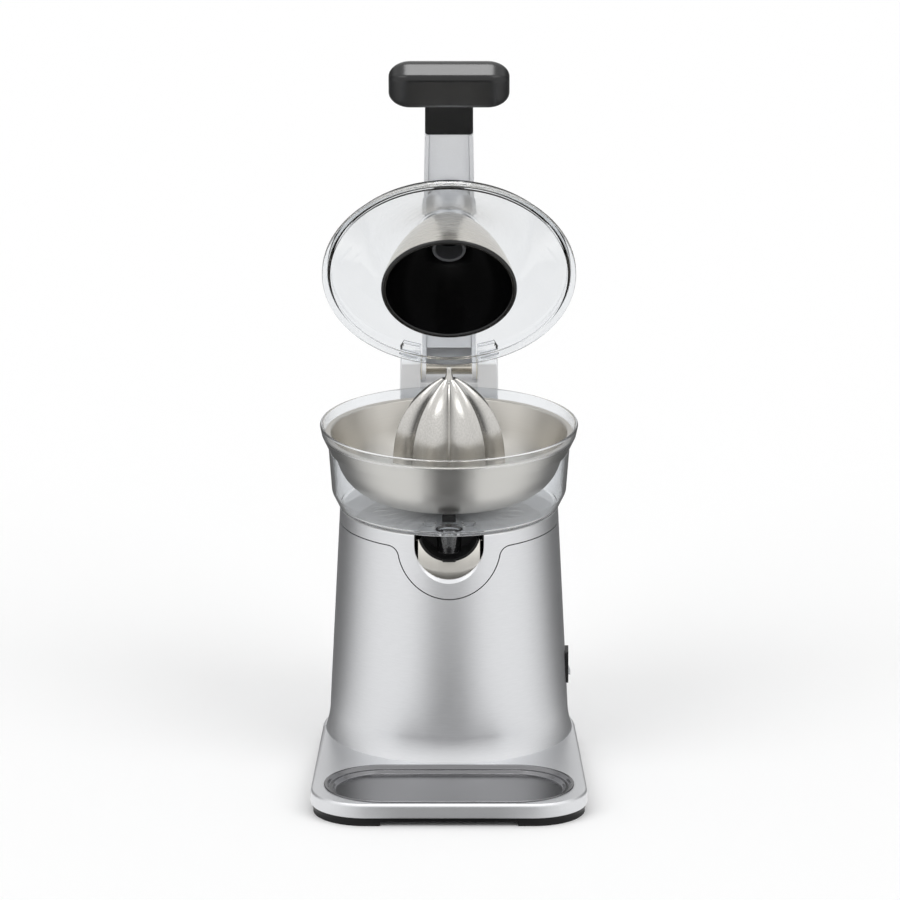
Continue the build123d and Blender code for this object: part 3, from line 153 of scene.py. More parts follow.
@dataclass(frozen=True)
class Finish:
    """A surface: what it is made of, and the grain that its making left."""

    name: str
    slot: str
    colour: str
    roughness: float
    metallic: float = 0.0
    grain_mm: Tuple[float, float, float] = (1.0, 1.0, 1.0)
    turn_deg: float = 0.0
    tone_swing: float = 0.05
    rough_swing: float = 0.05
    relief_mm: float = 0.01
    detail: float = 2.0
    turned: bool = False
    sockets: Tuple[Tuple[str, float], ...] = ()

    def material(self) -> bpy.types.Material:
        """The finish's material, made once.

        Returns:
            The material.
        """
        if self.name not in MADE:
            made = MADE[self.name] = bpy.data.materials.new(self.name)
            tree = blank_tree(made)
            inputs = {"Metallic": self.metallic, **dict(self.sockets), **self.dress(tree, self.grain(tree))}
            if self.turned:
                around = put(tree, "ShaderNodeTangent", direction_type="RADIAL", axis="Z")
                inputs["Tangent"] = around.outputs[0]
            shader = put(tree, "ShaderNodeBsdfPrincipled", inputs)
            put(tree, "ShaderNodeOutputMaterial", {"Surface": shader.outputs["BSDF"]})
        return MADE[self.name]

    def put_on(self, mesh: bpy.types.Mesh) -> None:
        """Makes the finish a mesh's only material."""
        mesh.materials.clear()
        mesh.materials.append(self.material())

    def grain(self, tree: NodeTree) -> Socket:
        """Noise whose lumps have the grain's size on the object.

        Args:
            tree: the material's tree.

        Returns:
            The noise's output, from 0 to 1.
        """
        place = put(tree, "ShaderNodeTexCoord")
        sizes = tuple(size * MM for size in self.grain_mm)
        turned = put(tree, "ShaderNodeMapping",
                     {"Vector": place.outputs["Object"], "Scale": sizes,
                      "Rotation": (math.radians(self.turn_deg), 0.0, 0.0)}, vector_type="TEXTURE")
        noise = put(tree, "ShaderNodeTexNoise",
                    {"Vector": turned.outputs["Vector"], "Scale": 1.0, "Detail": self.detail})
        return noise.outputs["Fac"]

    def dress(self, tree: NodeTree, grain: Socket) -> Dict[str, Socket]:
        """Lets the grain vary the tone, the gloss and the relief.

        Args:
            tree: the material's tree.
            grain: the grain's output.

        Returns:
            What goes to the shader's inputs, by name.
        """
        base = linear(self.colour)[:3]
        dark, light = (tuple(min(1.0, c * share) for c in base) + (1.0,)
                       for share in (1 - self.tone_swing, 1 + self.tone_swing))
        tone = put(tree, "ShaderNodeMix", {0: grain, 6: dark, 7: light}, data_type="RGBA")
        gloss = put(tree, "ShaderNodeMapRange",
                    {"Value": grain, "To Min": max(0.0, self.roughness - self.rough_swing),
                     "To Max": self.roughness + self.rough_swing})
        inputs = {"Base Color": tone.outputs[2], "Roughness": gloss.outputs["Result"]}
        if self.relief_mm > 0:
            bump = put(tree, "ShaderNodeBump",
                       {"Height": grain, "Distance": self.relief_mm * MM, "Strength": 1.0})
            inputs["Normal"] = bump.outputs["Normal"]
        return inputs


@dataclass(frozen=True)
class Banded(Finish):
    """A surface of stacked sheets or laid wires, which shows as even bands."""

    band_mm: float = 1.0
    along: str = "Z"

    def grain(self, tree: NodeTree) -> Socket:
        """Bands of the sheets' or wires' own spacing.

        Args:
            tree: the material's tree.

        Returns:
            The bands' output, from 0 to 1.
        """
        place = put(tree, "ShaderNodeTexCoord")
        turns_per_metre = math.pi / 10 / (self.band_mm * MM)
        wave = put(tree, "ShaderNodeTexWave",
                   {"Vector": place.outputs["Object"], "Scale": turns_per_metre, "Distortion": 0.3},
                   bands_direction=self.along)
        return wave.outputs["Fac"]


def brushed(name: str, way: Brushing, turn_deg: float = 0.0, colour: str = "#CFCBC4",
            roughness: float = 0.27, line_mm: float = 0.7, spread: float = 0.0) -> Finish:
    """Stainless sheet drawn through a brush: fine lines that smear a reflection across them.

    Args:
        name: the material's name.
        way: the direction of the lines.
        turn_deg: how far the piece leans about X.
        colour: the metal's colour.
        roughness: the metal's roughness.
        line_mm: width of the lines; 0.7 is coarser than real, so that they show.
        spread: how far the lines smear a reflection along an upright axis, from 0 to 1.

    Returns:
        The finish.
    """
    run = 60.0
    grain = (run, run, line_mm) if way is Brushing.AROUND else (run, line_mm, line_mm)
    return Finish(name, "brushed_stainless_steel", colour, roughness, 1.0, grain, turn_deg,
                  tone_swing=0.04, rough_swing=0.05, relief_mm=0.004 * line_mm, detail=3.0, turned=spread > 0,
                  sockets=(("Anisotropic", spread), ("Anisotropic Rotation", 0.25)))


# Sprayed metallic silver over a bead-blasted casting: soft reflections and a faint sparkle.
SILVER = Finish("satin_silver_paint_sprayed", "satin_silver_paint", "#DBDCDE", 0.36, 0.8, (0.9, 0.9, 0.9),
                tone_swing=0.06, rough_swing=0.06, relief_mm=0.006, detail=3.0)
# The same paint over the lever, the column and the deck under the bowl: less mirror, and a lighter colour as
# painted light for the light these faces miss.
SILVER_PAINTED_LIGHT = Finish("satin_silver_paint_painted_light", "satin_silver_paint", "#EBECEE", 0.42, 0.2, (0.9, 0.9, 0.9),
                     tone_swing=0.04, rough_swing=0.06, relief_mm=0.006, detail=3.0)
# The turned body, wiped round by the same spray: the grain runs level.
BODY_SILVER = Finish("satin_silver_paint_turned", "satin_silver_paint", "#DCDDDF", 0.36, 0.95,
                     (7.0, 7.0, 0.9), tone_swing=0.05, rough_swing=0.05, relief_mm=0.008, detail=4.0)
# Die-cast alloy, tumbled and polished: bright crests over a pitted skin.
CAST = Finish("polished_cast_alloy_tumbled", "polished_cast_alloy", "#C6C4C0", 0.23, 1.0, (0.9, 0.9, 1.4),
              tone_swing=0.16, rough_swing=0.09, relief_mm=0.034, detail=3.0)
# Drawn and ground bar: fine lines round it and a tight highlight.
GROUND = Finish("ground_bright_steel", "ground_steel", "#CDC8BE", 0.22, 1.0, (0.6, 40.0, 40.0),
                tone_swing=0.05, rough_swing=0.06, relief_mm=0.004)
# Zinc-plated screws: a dull bluish white, evenly speckled.
ZINC = Finish("zinc_plated_steel", "zinc_screws", "#B7B8B6", 0.35, 1.0, (0.8, 0.8, 0.8))
# Clear copolyester, injection moulded and polished: nearly colourless, with a slight flow in the surface.
CLEAR = Finish("clear_copolyester_moulded", "clear_plastic", "#EFF1F3", 0.02, 0.0, (30.0, 30.0, 30.0),
               tone_swing=0.005, rough_swing=0.01, relief_mm=0.0, detail=1.0,
               sockets=(("Transmission Weight", 1.0), ("IOR", 1.45)))
# Moulded black ABS with a spark-eroded skin.
BLACK = Finish("moulded_black_abs", "black_plastic", "#0B0B0C", 0.40, 0.0, (0.6, 0.6, 0.6),
               tone_swing=0.12, rough_swing=0.06, relief_mm=0.012, sockets=(("Specular IOR Level", 0.3),))
# The dome's lining is the same plastic from a polished mould.
GLOSSY_BLACK = Finish("polished_black_abs", "black_plastic", "#070708", 0.16, 0.0, (12.0, 12.0, 12.0),
                      tone_swing=0.10, rough_swing=0.04, relief_mm=0.004)
# The hub in the dome is the black plastic lightened to grey as painted light, so that it shows against the
# lining.
BLACK_PAINTED_LIGHT = Finish("black_abs_painted_light", "black_plastic", "#5E5F62", 0.35, 0.0, (0.6, 0.6, 0.6),
                    tone_swing=0.08)
# Soft-touch elastomer over a moulded core: a broad soft highlight and a pale sheen at grazing angles.
SOFT_TOUCH = Finish("soft_touch_elastomer", "soft_black_rubber", "#0A0B0C", 0.25, 0.0, (0.7, 0.7, 0.7),
                    tone_swing=0.10, rough_swing=0.05, relief_mm=0.02,
                    sockets=(("Specular IOR Level", 0.52), ("Sheen Weight", 0.15), ("Sheen Roughness", 0.35)))
# Moulded rubber of feet, seals and mounts: dull black with hardly a highlight.
RUBBER = Finish("moulded_black_rubber", "soft_black_rubber", "#0B0B0C", 0.6, 0.0, (0.8, 0.8, 0.8),
                tone_swing=0.12, rough_swing=0.05, relief_mm=0.02, sockets=(("Specular IOR Level", 0.3),))
# Natural acetal of gears and gear housing: ivory white and waxy, nearly without grain.
ACETAL = Finish("natural_acetal_moulded", "white_gear_plastic", "#E4E1D6", 0.4, 0.0, (2.0, 2.0, 2.0),
                tone_swing=0.03)
# Light grey switch key: an even satin skin that stands out from its black frame.
SWITCH_GREY = Finish("light_grey_abs_moulded", "grey_switch_plastic", "#C3C5C8", 0.33, 0.0,
                     (0.7, 0.7, 0.7), tone_swing=0.03)
# Stacked motor sheets under varnish: dark steel with the sheets' edges as bands.
LAMINATED = Banded("varnished_laminations", "motor_steel", "#5B5D60", 0.45, 0.8, tone_swing=0.25,
                   relief_mm=0.1, band_mm=1.0)
# Motor brackets as cast: matt aluminium with a coarse skin.
DIE_CAST = Finish("die_cast_aluminium", "cast_aluminium", "#B2B4B5", 0.42, 1.0, (1.2, 1.2, 1.2),
                  relief_mm=0.04)
# Enamelled winding wire: warm copper bands, one for each turn.
COPPER = Banded("enamelled_copper_wire", "copper_winding", "#B4662F", 0.3, 1.0, tone_swing=0.25,
                relief_mm=0.2, band_mm=1.2, along="X")
# Sintered bushes: brownish gold with fine pores.
BRONZE = Finish("sintered_bronze", "bronze", "#A98648", 0.4, 1.0, (0.5, 0.5, 0.5), relief_mm=0.02)
# Drawn spring wire: grey steel with a tight highlight.
SPRING = Finish("drawn_spring_wire", "spring_steel", "#A9A9A8", 0.28, 1.0, (0.3, 0.3, 0.3))
# Spun strainer: the lines run round it, so that what it mirrors stands in upright streaks.
STEEL_ROUND = brushed("brushed_stainless_turned", Brushing.AROUND, colour="#D2CFC9",
                      roughness=0.30, spread=0.8)
# Pressed tray: a smoother sheet, its colour darkened as painted shade.
STEEL_TRAY_PAINTED_SHADE = brushed("pressed_stainless_painted_shade", Brushing.ACROSS, colour="#838385",
                     roughness=0.17, line_mm=0.4)
# Satin sheet of the apron under the spout, with hardly any mirror in it; its pale colour is painted light.
STEEL_SATIN_PAINTED_LIGHT = Finish("satin_stainless_painted_light", "brushed_stainless_steel", "#DEDBD4", 0.34, 0.45,
                     (0.4, 40.0, 40.0), tone_swing=0.03, rough_swing=0.05, relief_mm=0.003)


def soften(corners: Sequence[Corner], steps: int = 6, closed: bool = True) -> List[Point]:
    """Rounds the corners of an outline.

    Args:
        corners: points with the radius of each.
        steps: segments in each rounded corner.
        closed: whether the last point joins the first.

    Returns:
        The rounded outline.
    """
    points: List[Point] = []
    count = len(corners)
    for index, (x, y, radius) in enumerate(corners):
        end = not closed and index in (0, count - 1)
        if radius <= 0 or end:
            points.append((x, y))
            continue
        here = Vector((x, y))
        back = (Vector(corners[index - 1][:2]) - here).normalized()
        ahead = (Vector(corners[(index + 1) % count][:2]) - here).normalized()
        half = back.angle(ahead) / 2
        centre = here + (back + ahead).normalized() * radius / math.sin(half)
        start = here + back * radius / math.tan(half) - centre
        stop = here + ahead * radius / math.tan(half) - centre
        first = math.atan2(start.y, start.x)
        turn = (math.atan2(stop.y, stop.x) - first + math.pi) % (2 * math.pi) - math.pi
        for step in range(steps + 1):
            angle = first + turn * step / steps
            points.append((centre.x + radius * math.cos(angle), centre.y + radius * math.sin(angle)))
    return points


def arc(centre: Point, radius: float, first: float, last: float, steps: int) -> List[Point]:
    """Points on an arc, with its angles in radians."""
    angles = [first + (last - first) * step / steps for step in range(steps + 1)]
    return [(centre[0] + radius * math.cos(a), centre[1] + radius * math.sin(a)) for a in angles]


def oblong(left: float, right: float, low: float, high: float) -> List[Point]:
    """Corners of a rectangle, counter-clockwise from the lower left."""
    return [(left, low), (right, low), (right, high), (left, high)]


def inset(outline: Sequence[Point], distance: float) -> List[Point]:
    """Moves a counter-clockwise outline inwards.

    Args:
        outline: the outline's points.
        distance: how far, in the outline's units.

    Returns:
        As many points, moved.
    """
    moved: List[Point] = []
    count = len(outline)
    for index, point in enumerate(outline):
        here = Vector(point)
        into = (here - Vector(outline[index - 1])).normalized()
        out = (Vector(outline[(index + 1) % count]) - here).normalized()
        normal = Vector((-into.y - out.y, into.x + out.x)).normalized()
        share = max(0.5, normal.dot(Vector((-into.y, into.x))))
        moved.append(tuple(here + normal * distance / share))
    return moved


def ring(outline: Sequence[Point], level: float) -> Loop:
    """Level loop through a plan's points, in millimetres."""
    return [Vector((x, y, level)) for x, y in outline]


def band(bm: Shape, low: Sequence[bmesh.types.BMVert],
         high: Sequence[bmesh.types.BMVert]) -> None:
    """Adds the faces between two closed rows of as many points.

    Args:
        bm: the shape.
        low: the first row.
        high: the second row.
    """
    count = len(low)
    for index in range(count):
        after = (index + 1) % count
        bm.faces.new((low[index], low[after], high[after], high[index]))


def loft(loops: Sequence[Loop], closed: bool = False) -> Shape:
    """Skin through loops of as many points each.

    Args:
        loops: the loops, in millimetres.
        closed: whether the last loop joins the first; if not, both ends are capped.

    Returns:
        The skin, in metres, faces outwards.
    """
    bm = bmesh.new()
    rows = [[bm.verts.new(point * MM) for point in loop] for loop in loops]
    for low, high in list(zip(rows, rows[1:])) + ([(rows[-1], rows[0])] if closed else []):
        band(bm, low, high)
    if not closed:
        bm.faces.new(rows[0])
        bm.faces.new(rows[-1])
    bmesh.ops.remove_doubles(bm, verts=bm.verts, dist=1e-7)
    bmesh.ops.recalc_face_normals(bm, faces=bm.faces)
    return bm


def lathe(profile: Sequence[Point], segments: int = 192, centre: Optional[Point] = None,
          closed: bool = True) -> Shape:
    """Turns a (radius, level) profile about an upright axis.

    Args:
        profile: the profile in millimetres; an open one starts and ends on the axis.
        segments: faces round the axis.
        centre: x and y of the axis, the cone's axis if not given.
        closed: whether the profile is a closed loop.

    Returns:
        The turned shape.
    """
    x, y = centre or (0.0, axis_y())
    turns = [2 * math.pi * step / segments for step in range(segments)]
    loops = [[Vector((x + r * math.cos(a), y + r * math.sin(a), z)) for a in turns] for r, z in profile]
    return loft(loops, closed)


def prism(outline: Sequence[Point], front: float, back: float) -> Shape:
    """Outline in (x, z) given a depth along Y, in millimetres."""
    return loft([[Vector((x, y, z)) for x, z in outline] for y in (front, back)])


def placed(name: str, data: bpy.types.ID) -> Piece:
    """Makes an object of a mesh, lamp or camera and puts it in the scene.

    Args:
        name: its name.
        data: what it shows.

    Returns:
        The object.
    """
    made = bpy.data.objects.new(name, data)
    bpy.context.scene.collection.objects.link(made)
    return made


def as_object(shape: Shape, name: str) -> Piece:
    """Makes an object of a shape, at the origin."""
    mesh = bpy.data.meshes.new(name)
    shape.to_mesh(mesh)
    shape.free()
    return placed(name, mesh)


def settle(piece: Piece) -> Piece:
    """Turns a piece's modifiers into a plain mesh.

    Args:
        piece: the object.

    Returns:
        The same object, without modifiers.
    """
    graph = bpy.context.evaluated_depsgraph_get()
    graph.update()
    mesh = bpy.data.meshes.new_from_object(piece.evaluated_get(graph), depsgraph=graph)
    piece.modifiers.clear()
    piece.data = mesh
    return piece


def carve(piece: Piece, tool: Shape, way: str = "DIFFERENCE") -> None:
    """Cuts a tool's shape from a piece, or joins it on.

    Args:
        piece: the object.
        tool: the closed shape that cuts it.
        way: the kind of boolean.
    """
    cutter = as_object(tool, piece.name + "_tool")
    change = piece.modifiers.new("carve", "BOOLEAN")
    change.operation = way
    change.solver = "EXACT"
    change.object = cutter
    settle(piece)
    bpy.data.objects.remove(cutter)


def show(piece: Piece, finish: Finish, body: Body, nodes: Sequence[str] = (),
         crease_deg: float = 32.0) -> None:
    """Finishes a piece: smooth shading, material, body and the nodes it stands for.

    Args:
        piece: the object, in place.
        finish: its surface.
        body: the body it rides on.
        nodes: the CAD nodes it replaces.
        crease_deg: edges sharper than this stay sharp.
    """
    mesh = piece.data
    finish.put_on(mesh)
    mesh.polygons.foreach_set("material_index", [0] * len(mesh.polygons))
    mesh.shade_smooth()
    mesh.set_sharp_from_angle(angle=math.radians(crease_deg))
    piece.modifiers.new("even", "WEIGHTED_NORMAL").keep_sharp = True
    settle(piece)
    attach(piece, body.value)
    if nodes:
        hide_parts(*nodes)
    LOG.info("%s: %d faces, on %s", piece.name, len(piece.data.polygons), body.value)


def see_through(piece: Piece, mirrored: bool) -> None:
    """Lets lamps pass a clear piece undimmed, and mirror images too unless it is mirrored itself."""
    piece.visible_shadow = False
    piece.visible_glossy = mirrored


def softened(node: str, name: str, edge_mm: float, finish: Finish, body: Body, steps: int = 3) -> None:
    """Shows a CAD solid with its triangles merged into faces and its sharp edges rounded.

    Args:
        node: the CAD node that the new piece replaces.
        name: the new piece's name.
        edge_mm: the edges' radius.
        finish: its surface.
        body: the body it rides on.
        steps: segments across an edge.
    """
    bm = bmesh.new()
    bm.from_mesh(frame["nodes"][node].data)
    bmesh.ops.remove_doubles(bm, verts=bm.verts, dist=2 * MERGE_M)
    bmesh.ops.dissolve_limit(bm, angle_limit=math.radians(FLAT_DEG), verts=bm.verts, edges=bm.edges)
    piece = as_object(bm, name)
    edge = piece.modifiers.new("edge", "BEVEL")
    edge.width = edge_mm * MM
    edge.segments = steps
    edge.limit_method = "ANGLE"
    edge.angle_limit = math.radians(SHARP_DEG)
    show(settle(piece), finish, body, [node])


def coat(finish: Finish, *nodes: str) -> None:
    """Gives CAD nodes that keep their own shape a finish.

    Args:
        finish: the surface.
        nodes: the nodes.
    """
    for node in nodes:
        finish.put_on(frame["nodes"][node].data)
        LOG.info("%s: keeps its solid, %s", node, finish.name)


class GeometryTree:
    """A geometry node tree with named inputs, run on an object."""

    def __init__(self, name: str, sizes: Dict[str, float]) -> None:
        """Starts a tree with an input for each size.

        Args:
            name: the tree's name.
            sizes: the inputs' names and values; whole numbers make integer inputs.
        """
        self.tree = bpy.data.node_groups.new(name, "GeometryNodeTree")
        self.sizes = sizes
        self.keys: Dict[str, str] = {}
        face = self.tree.interface
        face.new_socket("Geometry", in_out="INPUT", socket_type="NodeSocketGeometry")
        for label, value in sizes.items():
            kind = "NodeSocketInt" if isinstance(value, int) else "NodeSocketFloat"
            self.keys[label] = face.new_socket(label, in_out="INPUT", socket_type=kind).identifier
        face.new_socket("Geometry", in_out="OUTPUT", socket_type="NodeSocketGeometry")
        self.source = put(self.tree, "NodeGroupInput")

    def size(self, label: str) -> Socket:
        """The socket of a named input."""
        return self.source.outputs[label]

    def node(self, kind: str, inputs: Optional[Dict[Any, Any]] = None, **settings: Any) -> bpy.types.Node:
        """Adds a node to the tree."""
        return put(self.tree, kind, inputs, **settings)

    def math(self, operation: str, *values: Any) -> Socket:
        """Adds a sum of one or two values and returns its output."""
        return reckon(self.tree, operation, *values)

    def end(self, shape: Socket, finish: Finish) -> None:
        """Closes the tree with Realize Instances and Set Material.

        Args:
            shape: the geometry.
            finish: its surface.
        """
        real = self.node("GeometryNodeRealizeInstances", {0: shape})
        dressed = self.node("GeometryNodeSetMaterial", {"Geometry": real.outputs[0],
                                                        "Material": finish.material()})
        self.node("NodeGroupOutput", {0: dressed.outputs[0]})

    def run(self, piece: Piece) -> Piece:
        """Runs the tree on an object and keeps the result as its mesh.

        Args:
            piece: the object.

        Returns:
            The same object.
        """
        change = piece.modifiers.new(self.tree.name, "NODES")
        change.node_group = self.tree
        for label, key in self.keys.items():
            change[key] = self.sizes[label]
        return settle(piece)


def empty_piece(name: str) -> Piece:
    """An object with an empty mesh, for a tree that makes all its geometry."""
    return as_object(bmesh.new(), name)


@dataclass
class Stand:
    """Base casting, its feet and bottom cover, and the drip tray, in millimetres."""

    front: float = 188.0
    corner_half: float = 103.4
    corner_radius: float = 40.0
    rear_radius: float = 93.0
    heel_half: float = 42.0
    heel_back: float = 124.0
    heel_radius: float = 14.0
    blend_radius: float = 10.0
    edge_radius: float = 2.0
    edge_steps: int = 6
    low_chamfer: Point = (0.4, 0.6)
    under_inset: float = 6.0
    under_rise: float = 1.0
    well_inset: float = 2.6
    well_gap: float = 1.0
    low: float = 6.5
    high: float = 17.0
    tray_length: float = 183.0
    tray_width: float = 88.0
    tray_front_margin: float = 5.0
    tray_depth: float = 5.0
    tray_sheet: float = 1.0
    tray_ledge: float = 1.6
    tray_bead: float = 1.0
    tray_gap: float = 0.1
    tray_flat: float = 12.0

    def outline(self) -> List[Point]:
        """Plan of the base: straight front, tangent sides, round rear and heel.

        Returns:
            The plan's points, counter-clockwise.
        """
        reach = math.hypot(self.corner_half, self.front)
        along = self.rear_radius**2 / reach**2
        across = self.rear_radius * math.sqrt(reach**2 - self.rear_radius**2) / reach**2
        side = (along * self.corner_half + across * self.front,
                across * self.corner_half - along * self.front)
        blend_x = self.heel_half + self.blend_radius
        blend_y = math.sqrt((self.rear_radius + self.blend_radius) ** 2 - blend_x**2)
        meet = math.atan2(blend_y, blend_x)
        right = soften([(0.0, -self.front, 0.0), (self.corner_half, -self.front, self.corner_radius),
                        (side[0], side[1], 0.0)], 16, closed=False)
        right += arc((0.0, 0.0), self.rear_radius, math.atan2(side[1], side[0]), meet, 40)
        right += arc((blend_x, blend_y), self.blend_radius, meet + math.pi, math.pi, 6)[1:]
        right += soften([(self.heel_half, blend_y, 0.0), (self.heel_half, self.heel_back, self.heel_radius),
                         (0.0, self.heel_back, 0.0)], 12, closed=False)[1:]
        left = [(-x, y) for x, y in reversed(right[1:-1])]
        middle = axis_y()
        return [(x, y + middle) for x, y in right + left]

    def stadium(self, shrink: float) -> List[Point]:
        """Plan of the tray, drawn in by a distance.

        Args:
            shrink: the distance.

        Returns:
            The plan's points, counter-clockwise.
        """
        radius = self.tray_width / 2 - shrink
        half = (self.tray_length - self.tray_width) / 2
        y = axis_y() - self.front + self.tray_front_margin + self.tray_width / 2
        right = arc((half, y), radius, -math.pi / 2, math.pi / 2, 48)
        return right + arc((-half, y), radius, math.pi / 2, 3 * math.pi / 2, 48)

    def casting(self) -> None:
        """Base casting: rounded rim, flat top with the tray's well in it."""
        plan = self.outline()
        edge = self.edge_radius
        loops = [ring(inset(plan, self.under_inset), self.low + self.under_rise),
                 ring(inset(plan, self.low_chamfer[0]), self.low),
                 ring(plan, self.low + self.low_chamfer[1])]
        for along, up in arc((0.0, 0.0), edge, 0.0, math.pi / 2, self.edge_steps):
            loops.append(ring(inset(plan, edge - along), self.high - edge + up))
        bm = loft(loops)
        top = [f for f in bm.faces if len(f.verts) > 4]
        bmesh.ops.delete(bm, geom=top, context="FACES_ONLY")
        rim = [e for e in bm.edges if e.is_boundary and e.verts[0].co.z > (self.high - 0.1) * MM]
        well = self.stadium(self.well_inset)
        levels = [self.high, self.high - self.tray_depth - self.well_gap]
        rows = [[bm.verts.new(point * MM) for point in ring(well, level)] for level in levels]
        band(bm, *rows)
        bm.faces.new(rows[1])
        count = len(well)
        mouth = [bm.edges.get((rows[0][i], rows[0][(i + 1) % count])) for i in range(count)]
        bmesh.ops.triangle_fill(bm, use_beauty=True, use_dissolve=False, edges=rim + mouth)
        under = [e for e in bm.edges if e.is_boundary]
        bmesh.ops.contextual_create(bm, geom=under)
        bmesh.ops.recalc_face_normals(bm, faces=bm.faces)
        show(as_object(bm, "base_casting"), SILVER, Body.STAND, ["base_plate"])

    def tray(self) -> None:
        """Drip tray: a rolled bead, a ledge and a flat floor, swept round a stadium."""
        sheet = self.tray_sheet
        ledge = self.high - self.tray_ledge
        seat = self.high + self.tray_gap
        bead = self.high + self.tray_bead
        under = self.high - self.tray_depth + self.tray_gap
        top = self.high - self.tray_depth + sheet
        profile = soften([
            (0.0, seat, 0.4), (0.0, bead, 0.45), (2.4, bead, 0.45), (3.6, ledge, 0.7), (6.4, ledge, 0.7),
            (8.0, top, 1.2), (self.tray_flat, top, 0.0), (self.tray_flat, under, 0.0), (7.6, under, 1.6),
            (6.2, ledge - sheet, 0.6), (3.4, ledge - sheet, 1.2), (2.8, seat, 0.2)], 5)
        bm = loft([ring(self.stadium(shrink), level) for shrink, level in profile], closed=True)
        inner = self.stadium(self.tray_flat)
        for level in (top, under):
            bm.faces.new([bm.verts.new(point * MM) for point in ring(inner, level)])
        bmesh.ops.remove_doubles(bm, verts=bm.verts, dist=MERGE_M)
        walls = [f for f in bm.faces if self.is_inner_wall(f, top)]
        bmesh.ops.delete(bm, geom=walls, context="FACES_ONLY")
        bmesh.ops.recalc_face_normals(bm, faces=bm.faces)
        # The tray's darker steel colour is painted shade.
        show(as_object(bm, "tray_pan"), STEEL_TRAY_PAINTED_SHADE, Body.TRAY, ["drip_tray"])

    def is_inner_wall(self, face: bmesh.types.BMFace, top: float) -> bool:
        """Whether a face is the upright cut inside the tray's floor.

        Args:
            face: a face of the tray.
            top: level of the floor's upper side.

        Returns:
            True for such a face.
        """
        levels = [v.co.z / MM for v in face.verts]
        upright = len(levels) == 4 and abs(face.normal.z) < 0.1
        return upright and max(levels) < top + 0.01 and max(levels) - min(levels) > self.tray_sheet / 2

    def build(self) -> None:
        """Makes the base's pieces."""
        self.casting()
        self.tray()
        coat(BLACK, "bottom_cover")
        coat(RUBBER, "rubber_feet")
        coat(ZINC, "bottom_screws")


